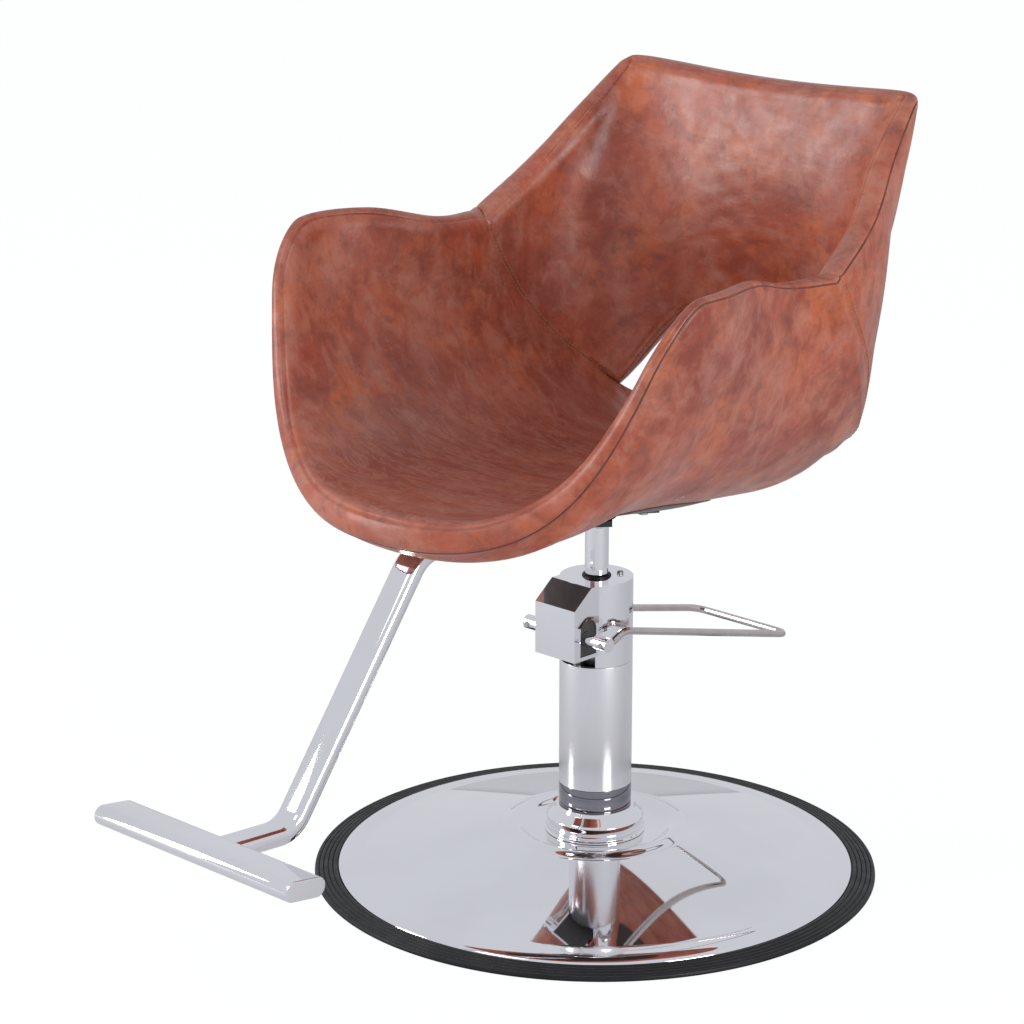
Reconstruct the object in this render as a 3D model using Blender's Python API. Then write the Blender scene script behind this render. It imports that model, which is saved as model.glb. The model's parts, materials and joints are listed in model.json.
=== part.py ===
"""Hydraulic styling chair: a round base, a foot-pumped column and a swivelling upholstered tub seat
with a T-bar footrest.

Metres, +Z up. The origin is on the floor at the centre of the base. The chair faces -Y, and +X is the
sitter's left. The column stands on the Z axis, which is also the swivel axis.
"""

import math

import bmesh
import bpy
import numpy as np

MM = 0.001
GAP = 0.3 * MM  # clearance between pieces that touch
CUT = 12 * MM  # how far a cutter reaches past what it cuts

# Base
BASE_RADIUS = 0.299  # outside of the rubber ring
RUBBER_HEIGHT = 8 * MM  # beside the dish
RUBBER_EDGE = 5 * MM  # at the outside
DISH_RADIUS = 0.274
LIP_RADIUS = 0.249  # where the cone of the dish turns down into its lip
LIP_Z = 0.0135
DISH_EDGE_Z = 6.7 * MM
HUMP_RADIUS = 0.104  # raised bead around the column
HUMP_Z = 0.048
DISH_CENTRE_Z = 0.0445
SHEET = 2 * MM
CORE_RADIUS = 0.240
CORE_THICKNESS = 6 * MM
HUB_RADIUS = 84 * MM
HUB_WALL = 24 * MM
HUB_TOP_Z = 33 * MM
SPANNER_RADIUS = 10 * MM  # access holes under the base bolts
BASE_BOLT_HEAD = 6 * MM
DISH_HOLE_RADIUS = 29.4 * MM
BEAD_START_RADIUS = 70 * MM
BEAD_SWELL = 6 * MM  # height of the bead above the line between its two feet
RIBS = 3  # on the rubber ring
RIB_DEPTH = 1.2 * MM
LEDGE_REACH = 14 * MM  # how far the rubber reaches in under the dish
LEDGE_DROP = 0.8 * MM

# Column
SLEEVE_RADIUS = 38.5 * MM
RING_RADIUS = 51.5 * MM  # cover ring round the column's foot
RING_FOOT_RADIUS = 53.5 * MM
RING_NECK_RADIUS = 41 * MM
RING_SHOULDER_Z = 0.061
COLLAR_BOTTOM_Z = 0.074
SLEEVE_BOTTOM_Z = 0.0985
HEAD_BOTTOM_Z = 0.236
HEAD_TOP_Z = 0.326
HEAD_WALL = 2.5 * MM
BLOCK_HALF_WIDTH = 28 * MM
BLOCK_FRONT_Y = -0.063
BLOCK_BOTTOM_Z = 0.250
CHAMFER_Y = -0.038
CHAMFER_Z = 0.306
CHAMFER_ANGLE = math.radians(45)
CYLINDER_TOP_Z = 0.300
ROD_RADIUS = 12.5 * MM
BORE_RADIUS = 16.3 * MM
GLAND_RADIUS = 18.3 * MM
LINER_RADIUS = 20 * MM
TUBE_RADIUS = 36 * MM
TUBE_BORE = 33.6 * MM
FLANGE_RADIUS = 49 * MM
FLANGE_TOP_Z = 0.0560
BOLT_CIRCLE = 42 * MM
BASE_BOLT_RADIUS = 4 * MM
FILLER_RADIUS = 3.4 * MM
FILLER_PLACE = (0.014, 0.021, 0)

# Pump lever
AXLE_Y = -0.043
AXLE_Z = 0.272
AXLE_RADIUS = 7.5 * MM
AXLE_HALF_LENGTH = 58 * MM
WIRE_RADIUS = 4 * MM
WIRE_X = 52 * MM  # where the wire leaves the axle
PEDAL_CORNER = (0.066, 0.236, 0.220)
PLUNGER_Y = -0.028
PLUNGER_RADIUS = 3.5 * MM
NOSE_DROP = 6.6 * MM  # from the axle down to the cam's nose
SPRING_TURNS = 3
SPRING_WIRE = 0.4 * MM  # its radius
SPRING_RADIUS = 4.3 * MM
PLUNGER_BOTTOM_Z = 0.215
BARREL_RADIUS = 5.2 * MM
BARREL_BOTTOM_Z = 0.205
SET_SCREW_RADIUS = 3 * MM
CAM_HALF_WIDTH = 6 * MM
CHAMBER_HALF_WIDTH = 8 * MM  # the casting's hollow round the cam
CHAMBER_Y = (-0.0585, -0.0225)
SLOT_Y = (-0.054, -0.030)
SLOT_Z = (0.254, 0.293)

# Piston, at the bottom of its stroke
PISTON_Z = (0.066, 0.096)
SPIGOT_RADIUS = 5 * MM
SEAL_DEPTH = 3 * MM
SEAL_WIDTH = 4 * MM
SEAL_STARTS = (6 * MM, 18 * MM)  # above the piston's underside
WASHER_RADIUS = 12 * MM
WASHER_HEIGHT = 3 * MM
NUT_RADIUS = 8.5 * MM
NUT_HEIGHT = 6 * MM

# Seat mounting
PLATE_Z = 0.397
PLATE_THICKNESS = 6 * MM
PLATE_ARM = 0.064  # from the axis to the end of each diagonal arm
PLATE_ARM_HALF_WIDTH = 13 * MM
PLATE_COLLAR_RADIUS = 20 * MM
MOUNT_BOLT_CIRCLE = 0.048
MOUNT_BOLT_RADIUS = 3 * MM
MOUNT_BOLT_HEAD = 5 * MM
INSERT_RADIUS = 5 * MM
INSERT_LENGTH = 9 * MM
MOUNT_INSERT_Z = 0.4210
LEG_INSERT_Z = 0.4270

# Footrest, all in the plane x = 0 except the bar
LEG_WIDTH = 33 * MM
LEG_THICKNESS = 18 * MM
LEG_PATH = [(-0.070, 0.4025), (-0.2605, 0.4085), (-0.437, 0.166), (-0.520, 0.170)]
LEG_BEND = (0.040, 0.034)
LEG_BOLTS_Y = (-0.150, -0.100)
BAR_CENTRE = (-0.538, 0.1755)
BAR_WIDTH = 50 * MM
BAR_THICKNESS = 20 * MM
BAR_HALF_LENGTH = 0.136
CAP_THICKNESS = 2 * MM
BAR_TILT = math.radians(7.5)  # the front edge of the bar is the higher one

# Tub: half width, y and z along the middle of the padded rim, from the front top corner of the arm,
# along the arm, up the wing and round the top corner of the back
ARM_RIM = [
    (0.266, -0.184, 0.676),
    (0.273, -0.136, 0.686),
    (0.258, -0.077, 0.685),
    (0.234, 0.000, 0.668),
    (0.238, 0.068, 0.664),
]
WING_RIM = [
    (0.238, 0.068, 0.664),
    (0.226, 0.136, 0.709),
    (0.206, 0.194, 0.764),
    (0.191, 0.254, 0.817),
]
# y and z along the centre line of the seat pan, then of the back
PAN_LINE = [(-0.318, 0.446), (-0.200, 0.446), (0.000, 0.436), (0.150, 0.427), (0.232, 0.426)]
BACK_LINE = [(0.232, 0.426), (0.250, 0.500), (0.254, 0.600), (0.257, 0.710), (0.266, 0.821)]
# superellipse exponents of the cross-sections, at the centre and at the rim
ARM_FULLNESS = [(2.9, 1.7), (2.7, 1.9), (2.5, 2.1), (2.4, 2.2), (2.4, 2.1)]
BACK_FULLNESS = [(2.4, 2.1), (2.2, 2.1), (2.2, 2.1), (3.1, 3.0), (4.4, 4.3)]
FRONT_ROUNDING = 0.030  # how far the front edge curves back between the lip and the arm
SEAM_BOW = 0.014  # how far the seam between arm and back bows forward
TOP_OPENNESS = 0.23  # share by which the back's cross-section turns less at the top edge
TOP_DIP = 0.010
PAD_HALF = 0.017  # half thickness of the padded wall
ARM_HALF = 0.011  # the same at the front of the arms and in the back's top corners
BOTTOM_DEPTH = 0.024  # depth of the seat under the middle surface at its centre
OPENING_COLUMNS = 4  # divisions from the middle to the corner of the lumbar opening
OPENING_HEIGHT = 0.36  # share of the back's centre line that the opening takes

ACROSS = 20  # divisions across the tub
EDGE_STEP = 0.93  # where the last division before a rim starts
ALONG_ARM = 12
ALONG_BACK = 8
OPENING_HALF_ANGLE = math.pi / 2 * EDGE_STEP * OPENING_COLUMNS / (ACROSS / 2 - 1)

# Layers of the tub wall, as depths under the middle surface (negative towards the sitter)
PAD_BACK = -2.0 * MM
SHELL_FACE = -1.7 * MM
SHELL_BACK = 6.3 * MM
SHELL_BOSS = 8.0 * MM  # extra thickness of the moulded shell where the column and footrest bolt on
LIP_DEPTH = 0.007  # extra depth of the rolled front edge
PAD_RIM = 2.0 * MM  # depth at which the inner and outer covers meet along the rim
COVER_THICKNESS = 2 * MM
COVER_CENTRE_Y = -0.045  # the oval bottom cover
COVER_HALF_SIZE = (0.170, 0.165)


def clear_scene():
    for obj in list(bpy.data.objects):
        bpy.data.objects.remove(obj, do_unlink=True)


def make_material(name, colour, roughness, metallic):
    made = bpy.data.materials.new(name)
    made.use_nodes = True
    shader = made.node_tree.nodes["Principled BSDF"]
    shader.inputs["Base Color"].default_value = (*colour, 1.0)
    shader.inputs["Roughness"].default_value = roughness
    shader.inputs["Metallic"].default_value = metallic
    return made


MATERIALS = {
    "leather": ((0.33, 0.11, 0.055), 0.45, 0.0),
    "chrome": ((0.80, 0.80, 0.82), 0.06, 1.0),
    "satin_steel": ((0.62, 0.61, 0.62), 0.30, 1.0),
    "nickel": ((0.66, 0.60, 0.57), 0.18, 1.0),
    "machined_steel": ((0.40, 0.40, 0.41), 0.35, 1.0),
    "black_paint": ((0.02, 0.02, 0.02), 0.50, 0.0),
    "cast_iron": ((0.09, 0.09, 0.09), 0.70, 0.6),
    "rubber": ((0.03, 0.03, 0.035), 0.65, 0.0),
    "bronze": ((0.45, 0.30, 0.14), 0.35, 1.0),
    "moulded_shell": ((0.40, 0.28, 0.17), 0.60, 0.0),
    "bottom_cloth": ((0.045, 0.022, 0.018), 0.85, 0.0),
}


# Bodies: each is an empty on its joint's axis, and its pieces are parented to it


def make_body(name, place, parent=None):
    made = bpy.data.objects.new(name, None)
    made.parent = parent
    made.location = np.array(place) - (world_place(parent) if parent else 0)
    bpy.context.scene.collection.objects.link(made)
    return made


def world_place(obj):
    place = np.array(obj.location)
    while obj.parent:
        obj = obj.parent
        place = place + np.array(obj.location)
    return place


def add_piece(body, name, shape, material, sharp_degrees=30.0):
    """An object made from (points, faces) in the chair's frame, with its origin on its body's axis."""
    points, faces = shape
    origin = world_place(body)
    mesh = bpy.data.meshes.new(name)
    mesh.from_pydata([tuple(np.array(p) - origin) for p in points], [], faces)
    outward = bmesh.new()
    outward.from_mesh(mesh)
    bmesh.ops.recalc_face_normals(outward, faces=outward.faces)
    outward.to_mesh(mesh)
    outward.free()
    mesh.shade_smooth()
    mesh.set_sharp_from_angle(angle=math.radians(sharp_degrees))
    if material:
        mesh.materials.append(bpy.data.materials[material])
    made = bpy.data.objects.new(name, mesh)
    made.parent = body
    bpy.context.scene.collection.objects.link(made)
    return made


def add_cutter(target, name, shape, operation="DIFFERENCE"):
    """A hidden helper that cuts a piece, or joins it, through a Boolean modifier."""
    cutter = add_piece(target.parent, name, shape, None)
    cutter.hide_render = True
    cutter.display_type = "WIRE"
    modifier = target.modifiers.new(name, "BOOLEAN")
    modifier.operation = operation
    modifier.solver = "EXACT"
    modifier.object = cutter
    return cutter


# Shapes: each returns (points, faces)


def turned(profile, centre=(0, 0, 0), axis="Z", sides=32, hexagon=()):
    """A profile of (radius, height) points turned about an axis.

    A first and last radius of zero make a solid bar; otherwise the profile closes on itself as a ring.
    The rows listed in hexagon are hexagonal, with their radius measured to the flats.
    """
    solid = profile[0][0] == 0 and profile[-1][0] == 0
    rows = profile[1:-1] if solid else profile
    points, faces = [], []
    for row, (radius, height) in enumerate(rows):
        for k in range(sides):
            angle = 2 * math.pi * k / sides
            corner = math.cos(angle % (math.pi / 3) - math.pi / 6) if row in hexagon else 1
            reach = radius / corner
            points.append(laid((reach * math.cos(angle), reach * math.sin(angle), height), centre, axis))
    for i in range(len(rows) - 1 if solid else len(rows)):
        low, high = i * sides, (i + 1) % len(rows) * sides
        for k in range(sides):
            after = (k + 1) % sides
            faces.append((low + k, low + after, high + after, high + k))
    if solid:
        faces.append(tuple(reversed(range(sides))))
        faces.append(tuple(range((len(rows) - 1) * sides, len(rows) * sides)))
    return points, faces


def laid(point, centre, axis):
    """A point made along +Z, laid along the named axis and moved to a centre."""
    x, y, z = point
    if axis == "X":
        x, y, z = z, x, y
    elif axis == "Y":
        x, y, z = y, z, x
    return x + centre[0], y + centre[1], z + centre[2]


def bar(radius, low, high, centre=(0, 0, 0), axis="Z", sides=32):
    return turned([(0, low), (radius, low), (radius, high), (0, high)], centre, axis, sides)


def ring(inner, outer, low, high, centre=(0, 0, 0), axis="Z", sides=32):
    return turned([(inner, low), (outer, low), (outer, high), (inner, high)], centre, axis, sides)


def bolt(radius, head_low, head_high, tip, centre, sides=24):
    """A hexagon-headed bolt standing on +Z: head below, shank above."""
    flats = 1.6 * radius
    profile = [
        (0, head_low), (flats, head_low), (flats, head_high), (radius, head_high), (radius, tip), (0, tip),
    ]
    return turned(profile, centre, sides=sides, hexagon=(0, 1))


def joined(shapes):
    """Several shapes as one list of points and faces, for a helper that cuts in several places."""
    points, faces = [], []
    for more_points, more_faces in shapes:
        faces += [tuple(i + len(points) for i in face) for face in more_faces]
        points += list(more_points)
    return points, faces


def prism(outline, low, high):
    """An outline of (y, z) points run along X."""
    count = len(outline)
    points = [(x, y, z) for x in (low, high) for y, z in outline]
    faces = [tuple(reversed(range(count))), tuple(range(count, 2 * count))]
    faces += [(k, (k + 1) % count, (k + 1) % count + count, k + count) for k in range(count)]
    return points, faces


def upright(outline, low, high):
    """An outline of (x, y) points run up Z."""
    points, faces = prism(outline, low, high)
    return [(y, z, x) for x, y, z in points], faces


def stadium(width, thickness, steps=6):
    """A flat-oval section: two flats joined by half circles."""
    radius = thickness / 2
    reach = width / 2 - radius
    section = []
    for centre, start in ((reach, -math.pi / 2), (-reach, math.pi / 2)):
        for k in range(steps + 1):
            angle = start + math.pi * k / steps
            section.append((centre + radius * math.cos(angle), radius * math.sin(angle)))
    return section


def circle(radius, sides=12):
    angles = [2 * math.pi * k / sides for k in range(sides)]
    return [(radius * math.cos(a), radius * math.sin(a)) for a in angles]


def swept(path, section, across):
    """A closed section carried along a path. Its first axis starts along across and turns no more than
    it must."""
    path = np.array(path, float)
    steps = np.diff(path, axis=0)
    steps /= np.linalg.norm(steps, axis=1)[:, None]
    tangents = np.vstack([steps[:1], steps[:-1] + steps[1:], steps[-1:]])
    side = np.array(across, float)
    count = len(section)
    points, faces = [], [tuple(range(count))]
    for place, tangent in zip(path, tangents):
        tangent = tangent / np.linalg.norm(tangent)
        side = side - tangent * side.dot(tangent)
        side /= np.linalg.norm(side)
        normal = np.cross(tangent, side)
        points += [tuple(place + a * side + b * normal) for a, b in section]
    for i in range(len(path) - 1):
        for k in range(count):
            after = (k + 1) % count
            faces.append((i * count + k, i * count + after, (i + 1) * count + after, (i + 1) * count + k))
    faces.append(tuple(range(len(points) - 1, len(points) - 1 - count, -1)))
    return points, faces


def filleted(corners, radii, steps=6):
    """A path through corners, each inner corner rounded with its own radius."""
    corners = [np.array(corner, float) for corner in corners]
    path = [corners[0]]
    for before, corner, after, radius in zip(corners, corners[1:], corners[2:], radii):
        back = (before - corner) / np.linalg.norm(before - corner)
        ahead = (after - corner) / np.linalg.norm(after - corner)
        half = math.acos(back.dot(ahead)) / 2
        centre = corner + (back + ahead) / np.linalg.norm(back + ahead) * radius / math.sin(half)
        start = corner + back * radius / math.tan(half) - centre
        end = corner + ahead * radius / math.tan(half) - centre
        turn = math.pi - 2 * half
        for k in range(steps + 1):
            a = turn * k / steps
            path.append(centre + (start * math.sin(turn - a) + end * math.sin(a)) / math.sin(turn))
    path.append(corners[-1])
    return path


def wall(face, back, quads):
    """A closed wall between two matching nets of points."""
    used = sorted({index for quad in quads for index in quad})
    place = {index: k for k, index in enumerate(used)}
    count = len(used)
    front = [tuple(place[i] for i in quad) for quad in quads]
    edges = {(a, b) for quad in front for a, b in zip(quad, quad[1:] + quad[:1])}
    faces = front + [tuple(i + count for i in reversed(quad)) for quad in front]
    faces += [(b, a, a + count, b + count) for a, b in sorted(edges) if (b, a) not in edges]
    return [face[i] for i in used] + [back[i] for i in used], faces


def spline(points, share):
    """A point on the smooth curve through the given points, at a share of its length."""
    points = np.array(points, float)
    knots = np.r_[0, np.cumsum(np.linalg.norm(np.diff(points[:, -2:], axis=0), axis=1))]
    knots /= knots[-1]
    slopes = np.gradient(points, knots, axis=0)
    i = min(np.searchsorted(knots, share, side="right") - 1, len(knots) - 2)
    span = knots[i + 1] - knots[i]
    t = (share - knots[i]) / span
    return (
        (2 * t**3 - 3 * t**2 + 1) * points[i]
        + (t**3 - 2 * t**2 + t) * span * slopes[i]
        + (-2 * t**3 + 3 * t**2) * points[i + 1]
        + (t**3 - t**2) * span * slopes[i + 1]
    )


def stepped(values, share):
    return float(np.interp(share, np.linspace(0, 1, len(values)), values))


def section_place(angle, power):
    """How far out and how far up a superellipse has come at an angle from its lowest point."""
    size = (abs(math.sin(angle)) ** power + math.cos(angle) ** power) ** (1 / power)
    return math.sin(angle) / size, 1 - math.cos(angle) / size


def tub_point(part, share, angle):
    """A point on the middle surface of the padded tub.

    part is "seat" (share 0 at the front edge, 1 at the seam to the back) or "back" (share 0 at that
    seam, 1 at the top edge). angle runs from -90 degrees at one rim to +90 degrees at the other.
    """
    rim, line, fullness = (
        (ARM_RIM, PAN_LINE, ARM_FULLNESS) if part == "seat" else (WING_RIM, BACK_LINE, BACK_FULLNESS)
    )
    half_width, rim_y, rim_z = spline(rim, share)
    line_y, line_z = spline(line, share)
    floor, wall = (stepped(column, share) for column in zip(*fullness))
    power = floor + (wall - floor) * math.sin(angle) ** 2
    turn = 1 - TOP_OPENNESS * share**2 if part == "back" else 1
    out, rise = section_place(angle * turn, power)
    full_out, full_rise = section_place(math.pi / 2 * turn, wall)
    out, rise = out / full_out, rise / full_rise
    bow = share**3 if part == "seat" else (1 - share) ** 2
    y = line_y + (rim_y - line_y) * rise - SEAM_BOW * bow * 4 * rise * (1 - rise)
    if part == "seat":
        y += FRONT_ROUNDING * (1 - share) ** 2 * 4 * out**2 * (1 - out**2)
    z = line_z + (rim_z - line_z) * rise
    if part == "back":
        z -= TOP_DIP * share**4 * (1 - out**2)
    return np.array((half_width * out, y, z))


def opening_share(angle):
    """How far up the back the lumbar opening reaches at a section angle."""
    inside = 1 - (angle / OPENING_HALF_ANGLE) ** 2
    return OPENING_HEIGHT * inside if inside > 1e-6 else 0.0


def at_seam(part, share, angle):
    """Whether a place lies where the seat and the back are sewn together."""
    return share == (1 if part == "seat" else 0) and opening_share(angle) == 0


def surface_normal(part, share, angle):
    step = 1e-3
    low, high = max(share - step, 0), min(share + step, 1)
    left, right = max(angle - step, -math.pi / 2 + 1e-6), min(angle + step, math.pi / 2 - 1e-6)
    along = tub_point(part, high, angle) - tub_point(part, low, angle)
    across = tub_point(part, share, right) - tub_point(part, share, left)
    normal = np.cross(across, along)
    return normal / np.linalg.norm(normal)


def tub_layer(part, share, angle, depth):
    """A point at a depth under the middle surface. The seat and the back share the direction of depth
    along their seam, halfway between their own."""
    if at_seam(part, share, angle):
        normal = surface_normal("seat", 1, angle) + surface_normal("back", 0, angle)
        normal /= np.linalg.norm(normal)
    else:
        normal = surface_normal(part, share, angle)
    return tub_point(part, share, angle) - normal * depth


def tub_places():
    """Rows of (part, share, angle) places over the seat, then over the back, close together at the rim."""
    angles = math.pi / 2 * np.array(eased(ACROSS))
    rows = [[("seat", share, a) for a in angles] for share in (np.array(eased(ALONG_ARM)) + 1) / 2]
    for share in (np.array(eased(ALONG_BACK)) + 1) / 2:
        rows.append([("back", share + (1 - share) * opening_share(a), a) for a in angles])
    return rows


def eased(count):
    """Even steps from -1 to 1, but for a narrow first and last one."""
    return [-1.0, *np.linspace(-EDGE_STEP, EDGE_STEP, count - 1), 1.0]


def on_rim(row, column):
    """Whether a place of the net lies on the free edge of the padding, or of the lumbar opening."""
    angle = math.pi / 2 * eased(ACROSS)[column]
    in_opening = opening_share(angle) > 0 and row in (ALONG_ARM, ALONG_ARM + 1)
    return row in (0, ALONG_ARM + ALONG_BACK + 1) or column in (0, ACROSS) or in_opening


def tub_net(depth, rim_depth=None, parted=GAP):
    """A net of points at a depth under the middle surface, row by row.

    depth takes (part, share, angle). On the rim it gives way to rim_depth, if that is stated. Each side
    of the seam is parted from it by a distance.
    """
    net = []
    for i, row in enumerate(tub_places()):
        net.append([tub_layer(*place, rim_depth if rim_depth is not None and on_rim(i, j) else depth(*place))
                    for j, place in enumerate(row)])
    for side, inward in ((ALONG_ARM, -1), (ALONG_ARM + 1, 1)):
        for j, point in enumerate(net[side]):
            step = net[side + inward][j] - point
            net[side][j] = point + step / np.linalg.norm(step) * parted
    return [point for row in net for point in row]


def net_triangles(first_row, last_row, keep=None):
    """Triangles between rows of the net, mirrored about the chair's middle plane. keep takes
    (row, column) and says which cells are wanted."""
    wide = ACROSS + 1
    triangles = []
    for i in range(first_row, last_row):
        for j in range(ACROSS):
            if keep and not keep(i, j):
                continue
            a, b, c, d = i * wide + j, i * wide + j + 1, (i + 1) * wide + j + 1, (i + 1) * wide + j
            triangles += [(a, b, c), (a, c, d)] if j < ACROSS / 2 else [(a, b, d), (b, c, d)]
    return triangles


def wall_half(part, share, angle):
    """Half thickness of the padded wall: slimmer towards the arms' fronts and the back's top corners."""
    slim = math.sin(angle) ** 2 * (1 - share**2) if part == "seat" else math.sin(angle) ** 6 * share**3
    return PAD_HALF - (PAD_HALF - ARM_HALF) * slim


def sitting_face(part, share, angle):
    return -wall_half(part, share, angle)


def underside(part, share, angle):
    """Depth of the outer face: more under the seat's centre and along its front lip."""
    outer = wall_half(part, share, angle)
    if part == "back":
        return outer
    belly = math.cos(angle) ** 2 * math.sin(math.pi * share) ** 2
    lip = math.sin(2 * angle) ** 2 * (1 - share) ** 8
    return outer + (BOTTOM_DEPTH - PAD_HALF) * belly + LIP_DEPTH * lip


def shell_back(part, share, angle):
    """Depth of the moulded shell's outer face, with its boss under the seat."""
    if part == "back":
        return SHELL_BACK
    return SHELL_BACK + SHELL_BOSS * (math.cos(angle) ** 2 * math.sin(math.pi * share)) ** 2


def deeper(depth, extra):
    return lambda part, share, angle: depth(part, share, angle) + extra


def level(depth):
    return lambda part, share, angle: depth


# Base


def base_pieces(base):
    add_piece(base, "rubber_trim_ring", turned(rubber_profile(), sides=48), "rubber", 50)
    core = add_piece(base, "base_core", turned(core_profile(), sides=48), "cast_iron")
    mount = add_piece(base, "hub_mount_plate", bar(
        HUB_RADIUS - 2 * MM, HUB_TOP_Z + GAP, DISH_CENTRE_Z - SHEET - GAP, sides=48), "machined_steel")
    dish = add_piece(base, "base_dish", turned(dish_profile(), sides=48), "chrome", 40)
    flange = add_piece(base, "pump_flange", ring(
        LINER_RADIUS, FLANGE_RADIUS, DISH_CENTRE_Z + GAP, FLANGE_TOP_Z), "cast_iron")
    places = [(BOLT_CIRCLE * math.cos(a), BOLT_CIRCLE * math.sin(a), 0) for a in bolt_angles()]
    access = joined([bar(SPANNER_RADIUS, -CUT, CUT, place, sides=24) for place in places])
    add_cutter(core, "spanner_holes", access)
    holes = joined([bar(BASE_BOLT_RADIUS + GAP, HUB_TOP_Z - CUT, FLANGE_TOP_Z + CUT, place, sides=24)
                    for place in places])
    for piece in (mount, dish, flange):
        add_cutter(piece, piece.name + "_bolt_holes", holes)
    for number, place in enumerate(places, 1):
        tip = FLANGE_TOP_Z - 1 * MM
        shape = bolt(BASE_BOLT_RADIUS, HUB_TOP_Z - BASE_BOLT_HEAD, HUB_TOP_Z, tip, place, 12)
        add_piece(base, f"base_bolt_{number}", shape, "machined_steel")
    add_piece(base, "flange_ring", turned(flange_ring_profile()), "chrome")
    valve = bar(LINER_RADIUS - GAP, DISH_CENTRE_Z + GAP, FLANGE_TOP_Z - 1 * MM)
    add_piece(base, "foot_valve", valve, "machined_steel")


def bolt_angles():
    return [math.pi / 4 + math.pi / 2 * k for k in range(4)]


def core_profile():
    """A heavy disc under the dish with a raised ring that carries the column's mounting plate."""
    inner = HUB_RADIUS - HUB_WALL
    return [
        (0, 0), (CORE_RADIUS, 0), (CORE_RADIUS, CORE_THICKNESS), (HUB_RADIUS, CORE_THICKNESS),
        (HUB_RADIUS, HUB_TOP_Z), (inner, HUB_TOP_Z), (inner, CORE_THICKNESS), (0, CORE_THICKNESS),
    ]


def rubber_profile():
    """A ring that carries the dish's edge on a ledge, with ribs on its sloping top outside the dish."""
    inside, inner, ledge = DISH_RADIUS - LEDGE_REACH, DISH_RADIUS + 2 * GAP, DISH_EDGE_Z - LEDGE_DROP
    pitch = (BASE_RADIUS - inner) / RIBS
    profile = [(inside, 0), (BASE_RADIUS, 0)]
    for k in range(RIBS):
        outer = BASE_RADIUS - k * pitch
        top = RUBBER_EDGE + (RUBBER_HEIGHT - RUBBER_EDGE) * k / (RIBS - 1)
        profile += [(outer, top - RIB_DEPTH / 2), (outer - 0.2 * pitch, top), (outer - 0.8 * pitch, top)]
        if k < RIBS - 1:
            profile.append((outer - pitch, top - RIB_DEPTH))
    return profile + [(inner, RUBBER_HEIGHT - RIB_DEPTH), (inner, ledge), (inside, ledge)]


def dish_top():
    """The dish's upper line from its centre hole out to its edge, as (radius, height)."""
    line = [(DISH_HOLE_RADIUS, DISH_CENTRE_Z), (BEAD_START_RADIUS, DISH_CENTRE_Z)]
    for k in range(1, 4):
        share = k / 3
        swell = BEAD_SWELL * math.sin(math.pi * share) ** 2
        line.append((BEAD_START_RADIUS + share * (HUMP_RADIUS - BEAD_START_RADIUS),
                     DISH_CENTRE_Z + (HUMP_Z - DISH_CENTRE_Z) * share + swell))
    for k in range(6):
        a = math.pi / 2 * k / 5
        line.append((LIP_RADIUS + (DISH_RADIUS - LIP_RADIUS) * math.sin(a),
                     DISH_EDGE_Z + (LIP_Z - DISH_EDGE_Z) * math.cos(a)))
    return line


def dish_profile():
    """The dish as sheet metal: the upper line, and the same line one thickness inside it."""
    top = dish_top()
    under = [(radius - (0.8 * SHEET if radius > LIP_RADIUS else 0), height - SHEET)
             for radius, height in top[:-3]]
    edge = [(DISH_RADIUS - SHEET, top[-3][1] - SHEET), (DISH_RADIUS - SHEET, DISH_EDGE_Z)]
    return list(reversed(top)) + under + edge


def flange_ring_profile():
    """A stepped cover ring round the foot of the column."""
    inner, bore = FLANGE_RADIUS + GAP, TUBE_RADIUS + GAP
    low, top, inside_top = DISH_CENTRE_Z + GAP, COLLAR_BOTTOM_Z - GAP, FLANGE_TOP_Z + 1 * MM
    return [
        (inner, low), (RING_FOOT_RADIUS, low), (RING_FOOT_RADIUS, low + 1.5 * MM),
        (RING_RADIUS, low + 2.5 * MM), (RING_RADIUS, RING_SHOULDER_Z),
        (RING_RADIUS - 1.5 * MM, RING_SHOULDER_Z + 2 * MM),
        (RING_NECK_RADIUS + 2 * MM, top - 3.7 * MM), (RING_NECK_RADIUS, top),
        (bore, top), (bore, inside_top), (inner, inside_top),
    ]


# Column


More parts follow.
